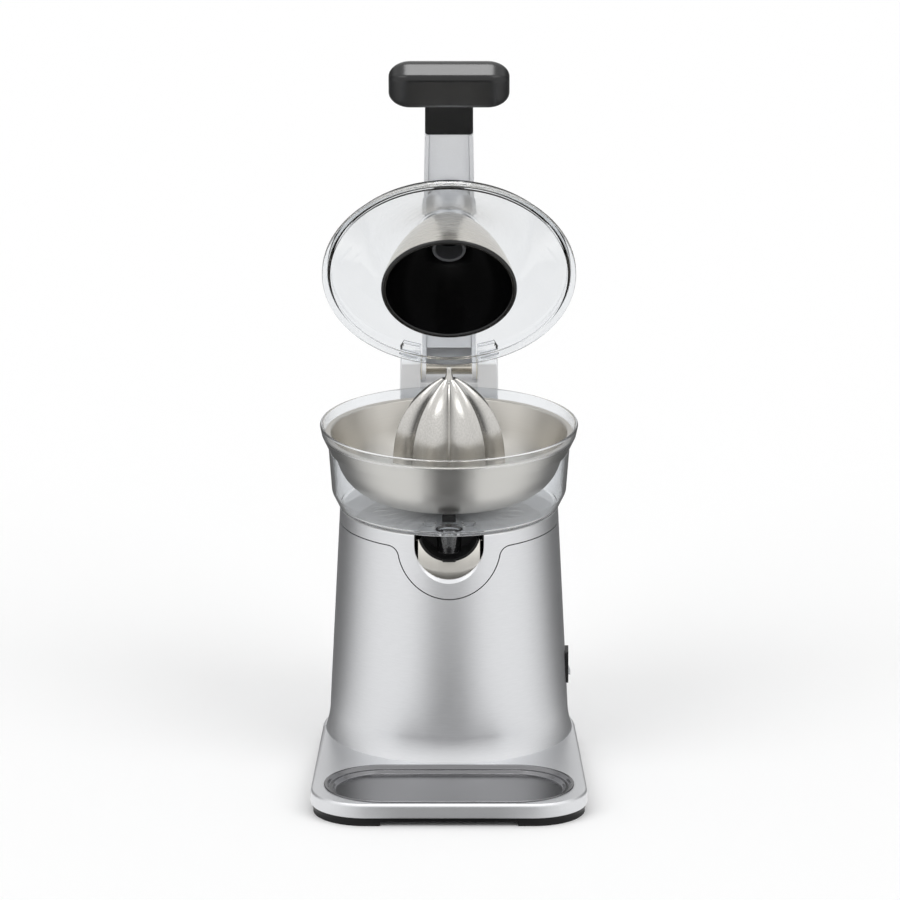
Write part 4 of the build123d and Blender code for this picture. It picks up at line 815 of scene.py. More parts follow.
@dataclass
class Housing:
    """Tapered body, collar with its bib, and the tilting spout, in millimetres."""

    low: float = 17.0
    flare_top: float = 37.0
    seam: float = 178.0
    high: float = 188.0
    top_radius: float = 80.1
    foot_radius: float = 87.3
    flare: float = 3.4
    foot_step: float = 2.0
    wall: float = 3.0
    seam_gap: float = 0.8
    deck_radius: float = 76.0
    shaft_bore: float = 13.02
    bib_radius: float = 37.5
    bib_rise: float = 0.5
    bib_wall: float = 2.4
    bib_blend: float = 8.0
    notch_half: float = 25.5
    bridge: float = 1.0
    lip_depth: float = 1.8
    lip_rise: float = 2.6
    outlet_y: float = -64.0
    outlet_radius: float = 10.2
    trough_back: float = -50.0
    trough_gap: float = 2.0
    deck_sheet: float = 4.0
    edge: float = 1.2
    bib_hem: float = 6.0
    switch_gap: float = 1.5
    tool_reach: float = 4.0
    cut_overlap: float = 0.01
    tool_past: float = 10.0
    taper_steps: int = 12
    sides: int = 288
    outlet_sides: int = 64
    crease_deg: float = 20.0

    def radius(self, level: float) -> float:
        """Outer radius of the taper at a level."""
        share = (level - self.flare_top) / (self.high - self.flare_top)
        return self.foot_radius + (self.top_radius - self.foot_radius) * share

    def bib(self, grow: float) -> List[Point]:
        """Seam of the collar from left to right in (x, z), with the bib's dip.

        Args:
            grow: how far the seam is moved out.

        Returns:
            The seam's points.
        """
        seam = self.seam - grow
        radius = self.bib_radius + grow
        blend = self.bib_blend - grow
        middle = self.seam + self.bib_rise
        drop = seam - blend - middle
        x = math.sqrt((radius + blend) ** 2 - drop**2)
        meet = math.atan2(drop, x)
        right = arc((0.0, middle), radius, -math.pi / 2, meet, 40)
        right += arc((x, seam - blend), blend, meet + math.pi, math.pi / 2, 12)[1:]
        return [(-px, pz) for px, pz in reversed(right[1:])] + right

    def notch(self, top: float) -> Shape:
        """Tool for the spout's notch: a U whose floor rises behind the face.

        Args:
            top: level that the cut reaches up to.

        Returns:
            The tool.
        """
        face = self.radius(self.seam - self.notch_half)
        ahead = -self.tool_reach
        loops = []
        for depth, rise in ((ahead, ahead * self.lip_rise / self.lip_depth), (self.lip_depth, self.lip_rise),
                            (face + self.trough_back + self.trough_gap, self.lip_rise)):
            plan = arc((0.0, self.seam + rise), self.notch_half, math.pi, 2 * math.pi, 41)
            plan += [(self.notch_half, top), (-self.notch_half, top)]
            loops.append([Vector((x, axis_y() - math.sqrt(face**2 - x**2) + depth, z)) for x, z in plan])
        return loft(loops)

    def shell(self) -> None:
        """Tapered body with a flare at its foot and the bib's cut."""
        top = self.seam - self.seam_gap
        foot = self.foot_radius + self.flare
        shares = [step / self.taper_steps for step in range(self.taper_steps + 1)]
        profile = [(self.foot_radius + self.flare * (1 - s) ** 2, self.low + (self.flare_top - self.low) * s)
                   for s in shares]
        levels = [self.flare_top + (top - self.flare_top) * s for s in shares[1:]]
        profile += [(self.radius(level), level) for level in levels]
        profile += [(self.radius(top) - self.wall, top), (foot - self.wall - self.foot_step, self.low)]
        body = as_object(lathe(profile, self.sides), "body_shell")
        far = 2 * self.foot_radius
        seam = self.bib(self.seam_gap)
        zone = [(-far, self.high + far), (-far, seam[0][1])] + seam
        zone += [(far, seam[-1][1]), (far, self.high + far)]
        carve(body, prism(zone, axis_y() - far, axis_y()))
        low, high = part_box("switch_bezel")
        gap = self.switch_gap
        hole = oblong(0.0, far, low.z / MM + gap, high.z / MM - gap)
        carve(body, prism(hole, low.y / MM + gap, high.y / MM - gap))
        show(body, BODY_SILVER, Body.STAND, ["main_body"])

    def collar(self) -> None:
        """Collar: rounded top edge, bib and the spout's notch."""
        low = self.seam - self.bib_radius - self.bib_hem
        profile = soften([(self.radius(low), low, 0.0), (self.radius(self.high), self.high, self.edge),
                          (self.deck_radius, self.high, 0.0),
                          (self.deck_radius, self.high - self.deck_sheet, 0.0),
                          (self.radius(low) - self.bib_wall, low, 0.0)], 6)
        collar = as_object(lathe(profile, self.sides), "collar")
        far = 2 * self.foot_radius
        seam = self.bib(0.0)
        low -= self.tool_past
        below = [(-far, low), (far, low), (far, seam[-1][1])] + seam[::-1] + [(-far, seam[0][1])]
        carve(collar, prism(below, axis_y() - far, axis_y()))
        carve(collar, prism(oblong(-far, far, low, self.seam), axis_y() - self.cut_overlap, axis_y() + far))
        carve(collar, self.notch(self.high + 2 * self.tool_past))
        show(collar, BODY_SILVER, Body.STAND, ["top_collar"], self.crease_deg)

    def deck(self) -> None:
        """Flat of the collar under the bowl, in the lighter copy of the paint, whose extra lightness is
        painted light.
        """
        profile = oblong(self.shaft_bore, self.deck_radius, self.high - self.deck_sheet, self.high)
        deck = as_object(lathe(profile, self.sides), "collar_deck")
        carve(deck, self.notch(self.high - self.bridge))
        hole = oblong(0.0, self.outlet_radius, self.high - self.tool_past, self.high + self.tool_past)
        carve(deck, lathe(hole, self.outlet_sides, (0.0, axis_y() + self.outlet_y), closed=False))
        show(deck, SILVER_PAINTED_LIGHT, Body.STAND, ["top_collar"])

    def build(self) -> None:
        """Makes the housing's pieces."""
        self.shell()
        self.collar()
        self.deck()
        softened("spout_trough", "spout_channel", 0.35, BLACK, Body.SPOUT, 2)
        # The apron's pale steel colour is painted light.
        softened("spout_skirt", "spout_apron", 0.2, STEEL_SATIN_PAINTED_LIGHT, Body.SPOUT, 2)
        coat(BLACK, "spout_liner")
        coat(GROUND, "spout_pin")


@dataclass
class JuiceSet:
    """Clear bowl, strainer and fluted cone, in millimetres."""

    deck: float = 188.0
    wall: float = 2.4
    rim_radius: float = 95.0
    rim: float = 250.6
    ledge: float = 243.0
    nozzle_y: float = -64.0
    nozzle_length: float = 15.5
    nozzle_top: float = 9.8
    nozzle_mouth: float = 8.5
    nozzle_wall: float = 1.6
    nozzle_root: float = 0.8
    nozzle_flare: float = 2.0
    tower_bore: float = 7.0
    tower_radius: float = 9.4
    tower_height: float = 24.0
    seat_gap: float = 0.1
    tool_past: float = 1.0
    boss_place: Point = (14.4, -54.0)
    boss_radius: float = 5.5
    boss_wall: float = 1.2
    boss_rise: float = 0.8
    boss_root: float = 0.5
    strainer_floor: float = 197.4
    sheet: float = 1.0
    slots: int = 28
    slot_inner: float = 26.0
    slot_outer: float = 56.0
    slot_width: float = 2.4
    slot_round: float = 0.99
    slot_tool: float = 6.0
    slot_drop: float = 1.5
    hub_height: float = 17.0
    waist: float = 36.0
    sides: int = 256
    nozzle_sides: int = 64
    small_sides: int = 48
    cone_base: float = 204.0
    cone_radius: float = 41.5
    cone_height: float = 84.0
    ribs: int = 9
    flute_ratio: float = 0.82
    fullness: float = 3.8
    cone_top_share: float = 0.965
    flute_steps: int = 40
    rib_columns: int = 4
    cone_rows: int = 121
    row_ease: float = 1.5
    rib_limit: float = 0.4
    rib_half: float = 0.5
    rib_rise: float = 0.5
    foot_height: float = 11.0
    foot_half: float = 5.0
    foot_curve: float = 1.6
    foot_fade: float = 4.0
    foot_sink: float = 0.7
    under_draw: float = 0.35
    cone_crease_deg: float = 24.0

    def bowl(self) -> None:
        """Clear bowl with its tower, ledge, nozzle and floor bosses."""
        deck = self.deck
        floor = deck + self.wall
        seat = deck + self.seat_gap
        tower = deck + self.tower_height
        knee = deck + 12.0
        neck = deck + 45.0
        profile = soften([
            (self.tower_bore, tower, 0.4), (self.tower_bore, seat, 0.0), (80.0, seat, 2.4),
            (86.0, knee, 10.0), (88.6, neck, 8.0), (self.rim_radius - 1.6, self.ledge, 4.0),
            (self.rim_radius, self.rim, 0.9), (self.rim_radius - 2.2, self.rim, 0.9),
            (self.rim_radius - 3.8, self.ledge, 0.5),
            (88.2, self.ledge, 0.8), (86.2, neck, 8.0), (83.6, knee, 7.6), (78.8, floor, 4.0),
            (self.tower_radius, floor, 1.2), (self.tower_radius, tower, 0.4)], 6)
        bowl = as_object(lathe(profile, self.sides), "clear_bowl")
        at = (0.0, axis_y() + self.nozzle_y)
        mouth = deck - self.nozzle_length
        root = deck + self.nozzle_root
        flare = floor + self.nozzle_flare
        below = mouth - self.tool_past
        cone = [(0.0, mouth), (self.nozzle_mouth, mouth), (self.nozzle_top, root), (0.0, root)]
        bore = [(0.0, below), (self.nozzle_mouth - self.nozzle_wall, below),
                (self.nozzle_top - self.nozzle_wall, floor), (self.nozzle_top, flare), (0.0, flare)]
        carve(bowl, lathe(cone, self.nozzle_sides, at, closed=False), "UNION")
        carve(bowl, lathe(bore, self.nozzle_sides, at, closed=False))
        outer = self.boss_radius
        inner = outer - self.boss_wall
        low, high = floor - self.boss_root, floor + self.boss_rise
        boss = soften([(outer, low, 0.0), (outer, high, 0.3), (inner, high, 0.3), (inner, low, 0.0)], 3)
        for side in (-1, 1):
            place = (side * self.boss_place[0], axis_y() + self.boss_place[1])
            carve(bowl, lathe(boss, self.small_sides, place), "UNION")
        see_through(bowl, False)
        show(bowl, CLEAR, Body.STAND, ["juice_bowl"])

    def slot_tree(self) -> GeometryTree:
        """Tree that cuts the ring of juice slots.

        Returns:
            The tree.
        """
        middle = (self.slot_inner + self.slot_outer) / 2
        tree = GeometryTree("strainer_slots", {
            "Slot Count": self.slots, "Slot Circle": middle * MM, "Axis Y": axis_y() * MM,
            "Floor": (self.strainer_floor + self.sheet / 2) * MM})
        slot = tree.node("GeometryNodeCurvePrimitiveQuadrilateral",
                         {0: (self.slot_outer - self.slot_inner) * MM, 1: self.slot_width * MM})
        bend = self.slot_width / 2 * MM * self.slot_round
        eased = tree.node("GeometryNodeFilletCurve", {"Curve": slot.outputs[0], "Count": 6, "Radius": bend},
                          mode="POLY")
        face = tree.node("GeometryNodeFillCurve", {0: eased.outputs[0]}, mode="NGONS")
        tool = tree.node("GeometryNodeExtrudeMesh", {
            "Mesh": face.outputs[0], "Offset Scale": self.slot_tool * self.sheet * MM})
        both = tree.node("GeometryNodeJoinGeometry")
        flipped = tree.node("GeometryNodeFlipFaces", {0: face.outputs[0]})
        for part in (tool, flipped):
            tree.tree.links.new(part.outputs[0], both.inputs[0])
        sealed = tree.node("GeometryNodeMergeByDistance", {0: both.outputs[0], "Distance": MERGE_M})
        circle = tree.node("GeometryNodeMeshCircle", {
            "Vertices": tree.size("Slot Count"), "Radius": tree.size("Slot Circle")})
        place = tree.node("GeometryNodeInputPosition")
        turn = tree.node("FunctionNodeAlignRotationToVector", {"Vector": place.outputs[0]}, axis="X")
        copies = tree.node("GeometryNodeInstanceOnPoints", {
            "Points": circle.outputs[0], "Instance": sealed.outputs[0], "Rotation": turn.outputs[0]})
        low = tree.math("SUBTRACT", tree.size("Floor"), self.slot_drop * self.sheet * MM)
        spot = tree.node("ShaderNodeCombineXYZ", {"Y": tree.size("Axis Y"), "Z": low})
        moved = tree.node("GeometryNodeTransform", {
            "Geometry": copies.outputs[0], "Translation": spot.outputs[0]})
        real = tree.node("GeometryNodeRealizeInstances", {0: moved.outputs[0]})
        cut = tree.node("GeometryNodeMeshBoolean", {
            "Mesh 1": tree.size("Geometry"), "Mesh 2": real.outputs[0]},
            operation="DIFFERENCE", solver="EXACT")
        tree.end(cut.outputs[0], STEEL_ROUND)
        return tree

    def strainer(self) -> None:
        """Pressed strainer with a curled rim, slots and a hub over the tower."""
        sheet = self.sheet
        low = self.strainer_floor
        high = low + sheet
        hub = low + self.hub_height
        waist = self.deck + self.waist
        rim = self.ledge + sheet
        profile = soften([
            (10.2, hub, 0.0), (10.2, low, 2.5), (73.5, low, 36.0), (82.0, waist, 4.0),
            (88.0, self.ledge, 0.8), (91.0, self.ledge, 0.3), (91.0, rim, 0.3), (87.0, rim, 1.6),
            (81.0, waist, 4.0),
            (72.5, high, 35.0), (11.2, high, 1.5), (11.2, hub, 0.0)], 16)
        pan = as_object(lathe(profile, self.sides), "strainer_pan")
        self.slot_tree().run(pan)
        show(pan, STEEL_ROUND, Body.STAND, ["strainer"])

    def cone_tree(self) -> GeometryTree:
        """Tree for the fluted cone: hollow flutes between thin raised ribs that spread into feet.

        Returns:
            The tree.
        """
        tree = GeometryTree("fluted_cone", {
            "Ribs": self.ribs, "Columns": self.ribs * self.flute_steps + 1, "Rows": self.cone_rows,
            "Radius": self.cone_radius * MM, "Height": self.cone_height * MM, "Flute Ratio": self.flute_ratio,
            "Fullness": self.fullness, "Top Share": self.cone_top_share, "Base": self.cone_base * MM,
            "Axis Y": axis_y() * MM, "Foot Height": self.foot_height * MM, "Foot Half": self.foot_half * MM,
            "Rib Half": self.rib_half * MM, "Rib Rise": self.rib_rise * MM})
        size, calc = tree.size, tree.math
        times, plus = partial(calc, "MULTIPLY"), partial(calc, "ADD")
        less, over = partial(calc, "SUBTRACT"), partial(calc, "DIVIDE")
        half_pitch = math.pi / self.ribs
        sheet = tree.node("GeometryNodeMeshGrid", {
            "Size X": 1.0, "Size Y": 1.0, "Vertices X": size("Columns"), "Vertices Y": size("Rows")})
        place = tree.node("GeometryNodeInputPosition")
        parts = tree.node("ShaderNodeSeparateXYZ", {0: place.outputs[0]})
        flutes = times(plus(parts.outputs["X"], 0.5), size("Ribs"))
        whole = calc("FLOOR", plus(flutes, 1e-4))
        swing = less(times(less(flutes, whole), 2.0), 1.0)
        away = calc("ABSOLUTE", swing)
        rib_share = self.rib_columns / self.flute_steps
        hollow = calc("MINIMUM", over(away, 1.0 - rib_share), 1.0)
        ribwards = over(calc("MAXIMUM", less(away, 1.0 - rib_share), 0.0), rib_share)
        rise = plus(parts.outputs["Y"], 0.5)
        eased = less(1.0, calc("POWER", less(1.0, rise), self.row_ease))
        share = times(eased, size("Top Share"))
        crest = times(size("Radius"), less(1.0, calc("POWER", share, size("Fullness"))))
        climb = times(share, size("Height"))
        left = calc("MAXIMUM", less(1.0, over(climb, size("Foot Height"))), 0.0)
        spread = times(calc("POWER", left, self.foot_curve), size("Foot Half"))
        lean = over(plus(spread, size("Rib Half")), crest)
        bound = calc("MINIMUM", lean, self.rib_limit * half_pitch)
        reach = less(half_pitch, bound)
        depth = less(math.cos(half_pitch), size("Flute Ratio"))
        bow = less(1.0, times(hollow, hollow))
        inward = times(crest, less(calc("COSINE", reach), times(depth, bow)))
        along = times(crest, times(calc("SINE", reach), hollow))
        bearing = plus(calc("ARCTAN2", along, inward), times(ribwards, bound))
        thin = less(1.0, calc("MINIMUM", times(left, self.foot_fade), 1.0))
        flank = calc("MINIMUM", times(ribwards, 2.0), 1.0)
        proud = times(times(flank, thin), size("Rib Rise"))
        sunk = times(flank, times(less(1.0, thin), -self.foot_sink * self.rib_rise * MM))
        length = calc("SQRT", plus(times(inward, inward), times(along, along)))
        radius = plus(length, plus(proud, sunk))
        under = calc("LESS_THAN", rise, 0.5 / (self.cone_rows - 1))
        drawn = times(radius, less(1.0, times(under, self.under_draw)))
        middle = less(times(plus(whole, 0.5), 2 * half_pitch), math.pi / 2)
        turn = plus(middle, times(calc("SIGN", swing), bearing))
        spot = tree.node("ShaderNodeCombineXYZ", {
            "X": times(drawn, calc("COSINE", turn)),
            "Y": plus(times(drawn, calc("SINE", turn)), size("Axis Y")),
            "Z": plus(climb, size("Base"))})
        shaped = tree.node("GeometryNodeSetPosition", {
            "Geometry": sheet.outputs[0], "Position": spot.outputs[0]})
        sealed = tree.node("GeometryNodeMergeByDistance", {0: shaped.outputs[0], "Distance": 2 * MERGE_M})
        tree.end(sealed.outputs[0], CAST)
        return tree

    def cone(self) -> None:
        """Fluted cone with the short spike that holds the fruit."""
        cone = self.cone_tree().run(empty_piece("fluted_cone"))
        tip = self.cone_base + self.cone_top_share * self.cone_height
        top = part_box("reamer")[1].z / MM
        root = tip - 6.0
        spike = soften([(0.0, root, 0.0), (6.2, root, 0.0), (3.0, tip + 1.2, 3.0), (2.1, tip + 4.0, 3.0),
                        (2.0, top - 1.4, 0.9), (0.7, top, 0.3), (0.0, top, 0.0)], 6, closed=False)
        bm = lathe(spike, self.small_sides, closed=False)
        bm.from_mesh(cone.data)
        bmesh.ops.recalc_face_normals(bm, faces=bm.faces)
        bpy.data.objects.remove(cone)
        show(as_object(bm, "reamer_cone"), CAST, Body.SPINDLE, ["reamer"], self.cone_crease_deg)

    def build(self) -> None:
        """Makes the juice set's pieces."""
        self.bowl()
        self.strainer()
        self.cone()
        softened("outlet_gate", "outlet_stop", 0.5, RUBBER, Body.STAND)
        coat(RUBBER, "shaft_seal")
        coat(GROUND, "drive_shaft")


@dataclass
class HingeColumn:
    """Column behind the bowl with its posts, pin and rear cover, in millimetres."""

    edge: float = 1.4
    cover_edge: float = 0.8
    gland_edge: float = 0.6
    pin_sides: int = 64
    pin_chamfer: float = 0.6
    pin_radius: float = 5.0
    screw_radius: float = 3.0
    screw_margin: float = 7.0

    def pin(self) -> None:
        """Ground hinge pin with chamfered ends."""
        low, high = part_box("hinge_pin")
        half = high.x / MM
        y = (low.y + high.y) / 2 / MM
        z = (low.z + high.z) / 2 / MM
        profile = soften([(0.0, -half, 0.0), (self.pin_radius, -half, self.pin_chamfer),
                          (self.pin_radius, half, self.pin_chamfer), (0.0, half, 0.0)], 4, closed=False)
        bm = lathe(profile, self.pin_sides, (0.0, 0.0), closed=False)
        bm.transform(Matrix.Translation((0.0, y * MM, z * MM)) @ Matrix.Rotation(math.pi / 2, 4, "Y"))
        show(as_object(bm, "hinge_rod"), GROUND, Body.STAND, ["hinge_pin"])

    def cover_screws(self) -> None:
        """Screw heads at the corners of the rear cover, set out by a tree."""
        low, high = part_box("column_cover")
        tree = GeometryTree("cover_screws", {
            "Across": (high.x - low.x) - 2 * self.screw_margin * MM,
            "Tall": (high.z - low.z) - 2 * self.screw_margin * MM,
            "Back": high.y, "Middle": (low.z + high.z) / 2})
        grid = tree.node("GeometryNodeMeshGrid", {
            "Size X": tree.size("Across"), "Size Y": tree.size("Tall"), "Vertices X": 2, "Vertices Y": 2})
        copies = tree.node("GeometryNodeInstanceOnPoints", {
            "Points": grid.outputs[0], "Instance": tree.size("Geometry")})
        spot = tree.node("ShaderNodeCombineXYZ", {"Y": tree.size("Back"), "Z": tree.size("Middle")})
        moved = tree.node("GeometryNodeTransform", {
            "Geometry": copies.outputs[0], "Translation": spot.outputs[0],
            "Rotation": (-math.pi / 2, 0.0, 0.0)})
        tree.end(moved.outputs[0], ZINC)
        piece = tree.run(as_object(screw_head(self.screw_radius), "cover_screw_heads"))
        show(piece, ZINC, Body.STAND)

    def build(self) -> None:
        """Makes the column's pieces."""
        # Column casting and its rear cover take the lighter silver copy, whose extra lightness is painted
        # light.
        softened("hinge_column", "column_casting", self.edge, SILVER_PAINTED_LIGHT, Body.STAND)
        softened("column_cover", "column_back", self.cover_edge, SILVER_PAINTED_LIGHT, Body.STAND)
        softened("cord_gland", "inlet_gland", self.gland_edge, RUBBER, Body.STAND)
        self.pin()
        self.cover_screws()
        coat(ACETAL, "hinge_washers")


def screw_head(radius: float) -> Shape:
    """Pan head with a cross recess, standing on z = 0.

    Args:
        radius: the head's radius in millimetres.

    Returns:
        The head.
    """
    height = 0.5 * radius
    profile = soften([(0.0, -0.2, 0.0), (radius, -0.2, 0.0), (radius, 0.45 * height, 0.4 * radius),
                      (0.25 * radius, height, 0.0), (0.0, height, 0.0)], 5, closed=False)
    head = as_object(lathe(profile, 32, (0.0, 0.0), closed=False), "screw_head_form")
    arm = 0.55 * radius
    thin = 0.13 * radius
    for x, y in ((arm, thin), (thin, arm)):
        slot = oblong(-x, x, -y, y)
        carve(head, loft([ring(slot, 0.4 * height), ring(slot, 2 * height)]))
    bm = bmesh.new()
    bm.from_mesh(head.data)
    bpy.data.objects.remove(head)
    return bm


@dataclass
class PressLever:
    """Lever arm, handle, press dome and lid, in millimetres, drawn closed and swung to rest."""

    dome_top: float = 300.1
    dome_mouth: float = 242.2
    dome_top_radius: float = 22.0
    dome_mouth_radius: float = 50.0
    dome_shoulder: Point = (37.8, 276.0)
    dome_sheet: float = 1.2
    lining: float = 2.3
    lining_gap: float = 0.02
    lip_radius: float = 1.9
    hub_radius: float = 12.5
    hub_bore: float = 10.0
    hub_length: float = 14.0
    lid_sheet: float = 2.2
    lid_radius: float = 93.5
    lid_low: float = 256.3
    lid_rim: float = 265.3
    lid_shoulder: Point = (47.0, 283.3)
    lid_neck: float = 25.0
    lid_blend: float = 120.0
    clip_from_deg: float = 14.0
    clip_to_deg: float = 23.0
    clip_width: float = 8.0
    clip_height: float = 3.6
    clip_root: float = 3.0
    crown_joint: int = 4
    dome_sides: int = 224
    cup_sides: int = 96
    lid_sides: int = 256
    grip_size: Tuple[float, float, float] = (89.0, 36.0, 25.0)
    grip_middle: Point = (-98.2, 343.6)
    grip_edges: Point = (11.0, 4.5)
    grip_end: float = 16.0
    grip_draw: float = 10.5
    grip_steps: int = 24
    grip_crease_deg: float = 60.0
    angle_deg: float = field(init=False)
    hinge: Vector = field(init=False)

    def __post_init__(self) -> None:
        """Takes the hinge's place and swing from the frame."""
        joint = next(j for j in frame["joints"] if j["name"] == "lever_hinge")
        self.angle_deg = joint["range_deg"][1]
        self.hinge = Vector(joint["pos_m"])

    def swing(self) -> Matrix:
        """Turn about the hinge from the closed pose to the rest position."""
        there = Matrix.Translation(self.hinge)
        return there @ Matrix.Rotation(math.radians(-self.angle_deg), 4, "X") @ there.inverted()

    def swung(self, shape: Shape) -> Shape:
        """Swings a shape that was drawn closed up to the rest position."""
        shape.transform(self.swing())
        return shape

    def bell(self, shrink: float, steps: int = 40) -> List[Point]:
        """Side of the dome from its top to its mouth, drawn in by a distance.

        Args:
            shrink: the distance.
            steps: segments of the curve.

        Returns:
            Points (radius, level).
        """
        fall = self.dome_top - self.dome_mouth
        spread = self.dome_mouth_radius - self.dome_top_radius
        chord = math.hypot(fall, spread)
        a = Vector((self.dome_top_radius - shrink, self.dome_top - shrink))
        wide, level = self.dome_shoulder
        b = Vector((wide - shrink * fall / chord, level - shrink * spread / chord))
        c = Vector((self.dome_mouth_radius - shrink, self.dome_mouth))
        twice = 2 * (a.x * (b.y - c.y) + b.x * (c.y - a.y) + c.x * (a.y - b.y))
        squares = [v.length_squared for v in (a, b, c)]
        x = (squares[0] * (b.y - c.y) + squares[1] * (c.y - a.y) + squares[2] * (a.y - b.y)) / twice
        y = (squares[0] * (c.x - b.x) + squares[1] * (a.x - c.x) + squares[2] * (b.x - a.x)) / twice
        first = math.atan2(a.y - y, a.x - x)
        last = math.atan2(c.y - y, c.x - x)
        return arc((x, y), math.hypot(a.x - x, a.y - y), first, last, steps)

    def dome(self) -> None:
        """Spun steel dome with a rounded crown."""
        outer = self.bell(0.0)
        inner = self.bell(self.dome_sheet)
        joint = self.crown_joint
        crown = soften([(0.0, self.dome_top, 0.0), (self.dome_top_radius, self.dome_top, 1.0),
                        (*outer[joint], 0.0)], 6, closed=False)
        profile = crown + outer[joint + 1:] + inner[::-1] + [(0.0, self.dome_top - self.dome_sheet)]
        piece = as_object(self.swung(lathe(profile, self.dome_sides, closed=False)), "dome_bell")
        steel = brushed("brushed_stainless_dome", Brushing.AROUND, -self.angle_deg, line_mm=0.35)
        show(piece, steel, Body.LEVER, ["press_dome"])

    def dome_lining(self) -> None:
        """Black lining with a rolled lip."""
        outer = self.bell(self.dome_sheet + self.lining_gap)
        inner = self.bell(self.dome_sheet + self.lining)
        lip = self.lip_radius
        middle = (self.dome_mouth_radius - lip, self.dome_mouth)
        roll = arc(middle, lip, 0.0, -math.pi, 14)
        profile = [(0.0, outer[0][1])] + outer + roll + inner[::-1] + [(0.0, inner[0][1])]
        piece = as_object(self.swung(lathe(profile, self.dome_sides, closed=False)), "dome_lining")
        show(piece, GLOSSY_BLACK, Body.LEVER, ["dome_liner"])

    def dome_cup(self) -> None:
        """Cup in the dome's crown that takes the spike."""
        high = self.dome_top - self.dome_sheet - self.lining
        low = high - self.hub_length
        profile = soften([(self.hub_radius, low, 0.9), (self.hub_radius, high, 0.0),
                          (self.hub_bore, high, 0.0), (self.hub_bore, low, 0.9)], 5)
        piece = as_object(self.swung(lathe(profile, self.cup_sides)), "dome_cup")
        # The cup's grey is painted light on black plastic.
        show(piece, BLACK_PAINTED_LIGHT, Body.LEVER, ["dome_hub"])

    def lid(self) -> None:
        """Clear lid with a stepped rim and a clip on each side of the lever."""
        sheet = self.lid_sheet
        top = self.dome_top + sheet
        radius = self.lid_radius
        profile = soften([
            (2.7, top, 0.0), (self.lid_neck, top, 2.4), (*self.lid_shoulder, self.lid_blend),
            (radius - 4.6, self.lid_rim + 1.2, 4.5), (radius - 4.2, self.lid_low + 3.4, 0.8),
            (radius, self.lid_low + 2.6, 0.7), (radius, self.lid_low, 0.7), (radius - 6.2, self.lid_low, 0.9),
            (radius - 6.8, self.lid_rim - 0.8, 3.5),
            (self.lid_shoulder[0] - sheet / 2, self.lid_shoulder[1] - sheet, self.lid_blend),
            (self.lid_neck - sheet / 2, self.dome_top, 1.4), (2.7, self.dome_top, 0.0)], 10)
        piece = as_object(lathe(profile, self.lid_sides), "clear_lid")
        for side in (-1, 1):
            carve(piece, self.clip(side), "UNION")
        piece.data.transform(self.swing())
        see_through(piece, True)
        show(piece, CLEAR, Body.LEVER, ["lid"])

    def clip(self, side: int) -> Shape:
        """Clear lug on the lid's rear rim, beside the lever.

        Args:
            side: -1 for the left one, 1 for the right one.

        Returns:
            The lug, in the closed pose.
        """
        middle = (0.0, axis_y())
        outer = self.lid_radius
        first, last = (math.pi / 2 - side * math.radians(a) for a in (self.clip_from_deg, self.clip_to_deg))
        plan = arc(middle, outer, first, last, 8) + arc(middle, outer - self.clip_width, last, first, 8)
        return loft([ring(plan, self.lid_rim - self.clip_root), ring(plan, self.lid_rim + self.clip_height)])

    def grip(self) -> None:
        """Soft grip: a rounded bar with a flat end facet, drawn in towards both ends."""
        across, deep, tall = self.grip_size
        big, crease = self.grip_edges
        side, top = deep / 2, tall / 2
        section = soften([(-side, -top, crease), (side, -top, big), (side, top, big), (-side, top, big)], 16)
        y, z = self.grip_middle
        straight = across / 2 - self.grip_end
        turns = [math.pi / 2 * step / self.grip_steps for step in range(self.grip_steps + 1)]
        ends = [(straight + self.grip_end * math.sin(a), self.grip_draw * (1 - math.cos(a))) for a in turns]
        stations = [(-x, drawn) for x, drawn in reversed(ends)] + ends
        loops = [[Vector((x, y + py * (1 - drawn / side), z + pz * (1 - drawn / top))) for py, pz in section]
                 for x, drawn in stations]
        piece = as_object(self.swung(loft(loops)), "grip")
        show(piece, SOFT_TOUCH, Body.LEVER, ["handle_grip"], self.grip_crease_deg)

    def build(self) -> None:
        """Makes the lever's pieces."""
        # Arm and its panel take the lighter silver copy, whose extra lightness is painted light.
        softened("lever_arm", "arm_casting", 0.9, SILVER_PAINTED_LIGHT, Body.LEVER)
        softened("arm_cover", "arm_panel", 0.4, SILVER_PAINTED_LIGHT, Body.LEVER)
        softened("handle_neck", "grip_neck", 0.5, BLACK, Body.LEVER)
        softened("dome_boss", "dome_post", 0.8, SILVER, Body.LEVER)
        self.grip()
        self.dome()
        self.dome_lining()
        self.dome_cup()
        self.lid()
        coat(ZINC, "handle_screws")
        coat(GROUND, "dome_stud")
        coat(BRONZE, "hinge_bushes")


@dataclass
class SideSwitch:
    """Rocker and its frame in the body's right side, in millimetres."""

    edge: float = 0.5

    def build(self) -> None:
        """Makes the switch's pieces."""
        softened("switch_bezel", "rocker_frame", self.edge, BLACK, Body.STAND)
        softened("rocker", "rocker_key", self.edge, SWITCH_GREY, Body.ROCKER)


class Drive:
    """Motor, gear train and trip switch inside the body, which keep their solids."""

    def build(self) -> None:
        """Gives each inner piece its finish."""
        coat(LAMINATED, "motor_stator", "rotor_core")
        coat(COPPER, "motor_windings")
        coat(DIE_CAST, "motor_lower_bracket", "motor_upper_bracket")
        coat(ACETAL, "idler_gear", "output_gear", "cooling_fan", "gearbox_housing", "gearbox_cover")
        coat(GROUND, "rotor_shaft", "idler_axle", "motor_pinion", "output_bearings", "motor_bearings")
        coat(ZINC, "gearbox_screws", "mount_screws", "motor_bolts")
        coat(RUBBER, "motor_mounts")
        coat(BLACK, "micro_switch")
        coat(SPRING, "press_spring")


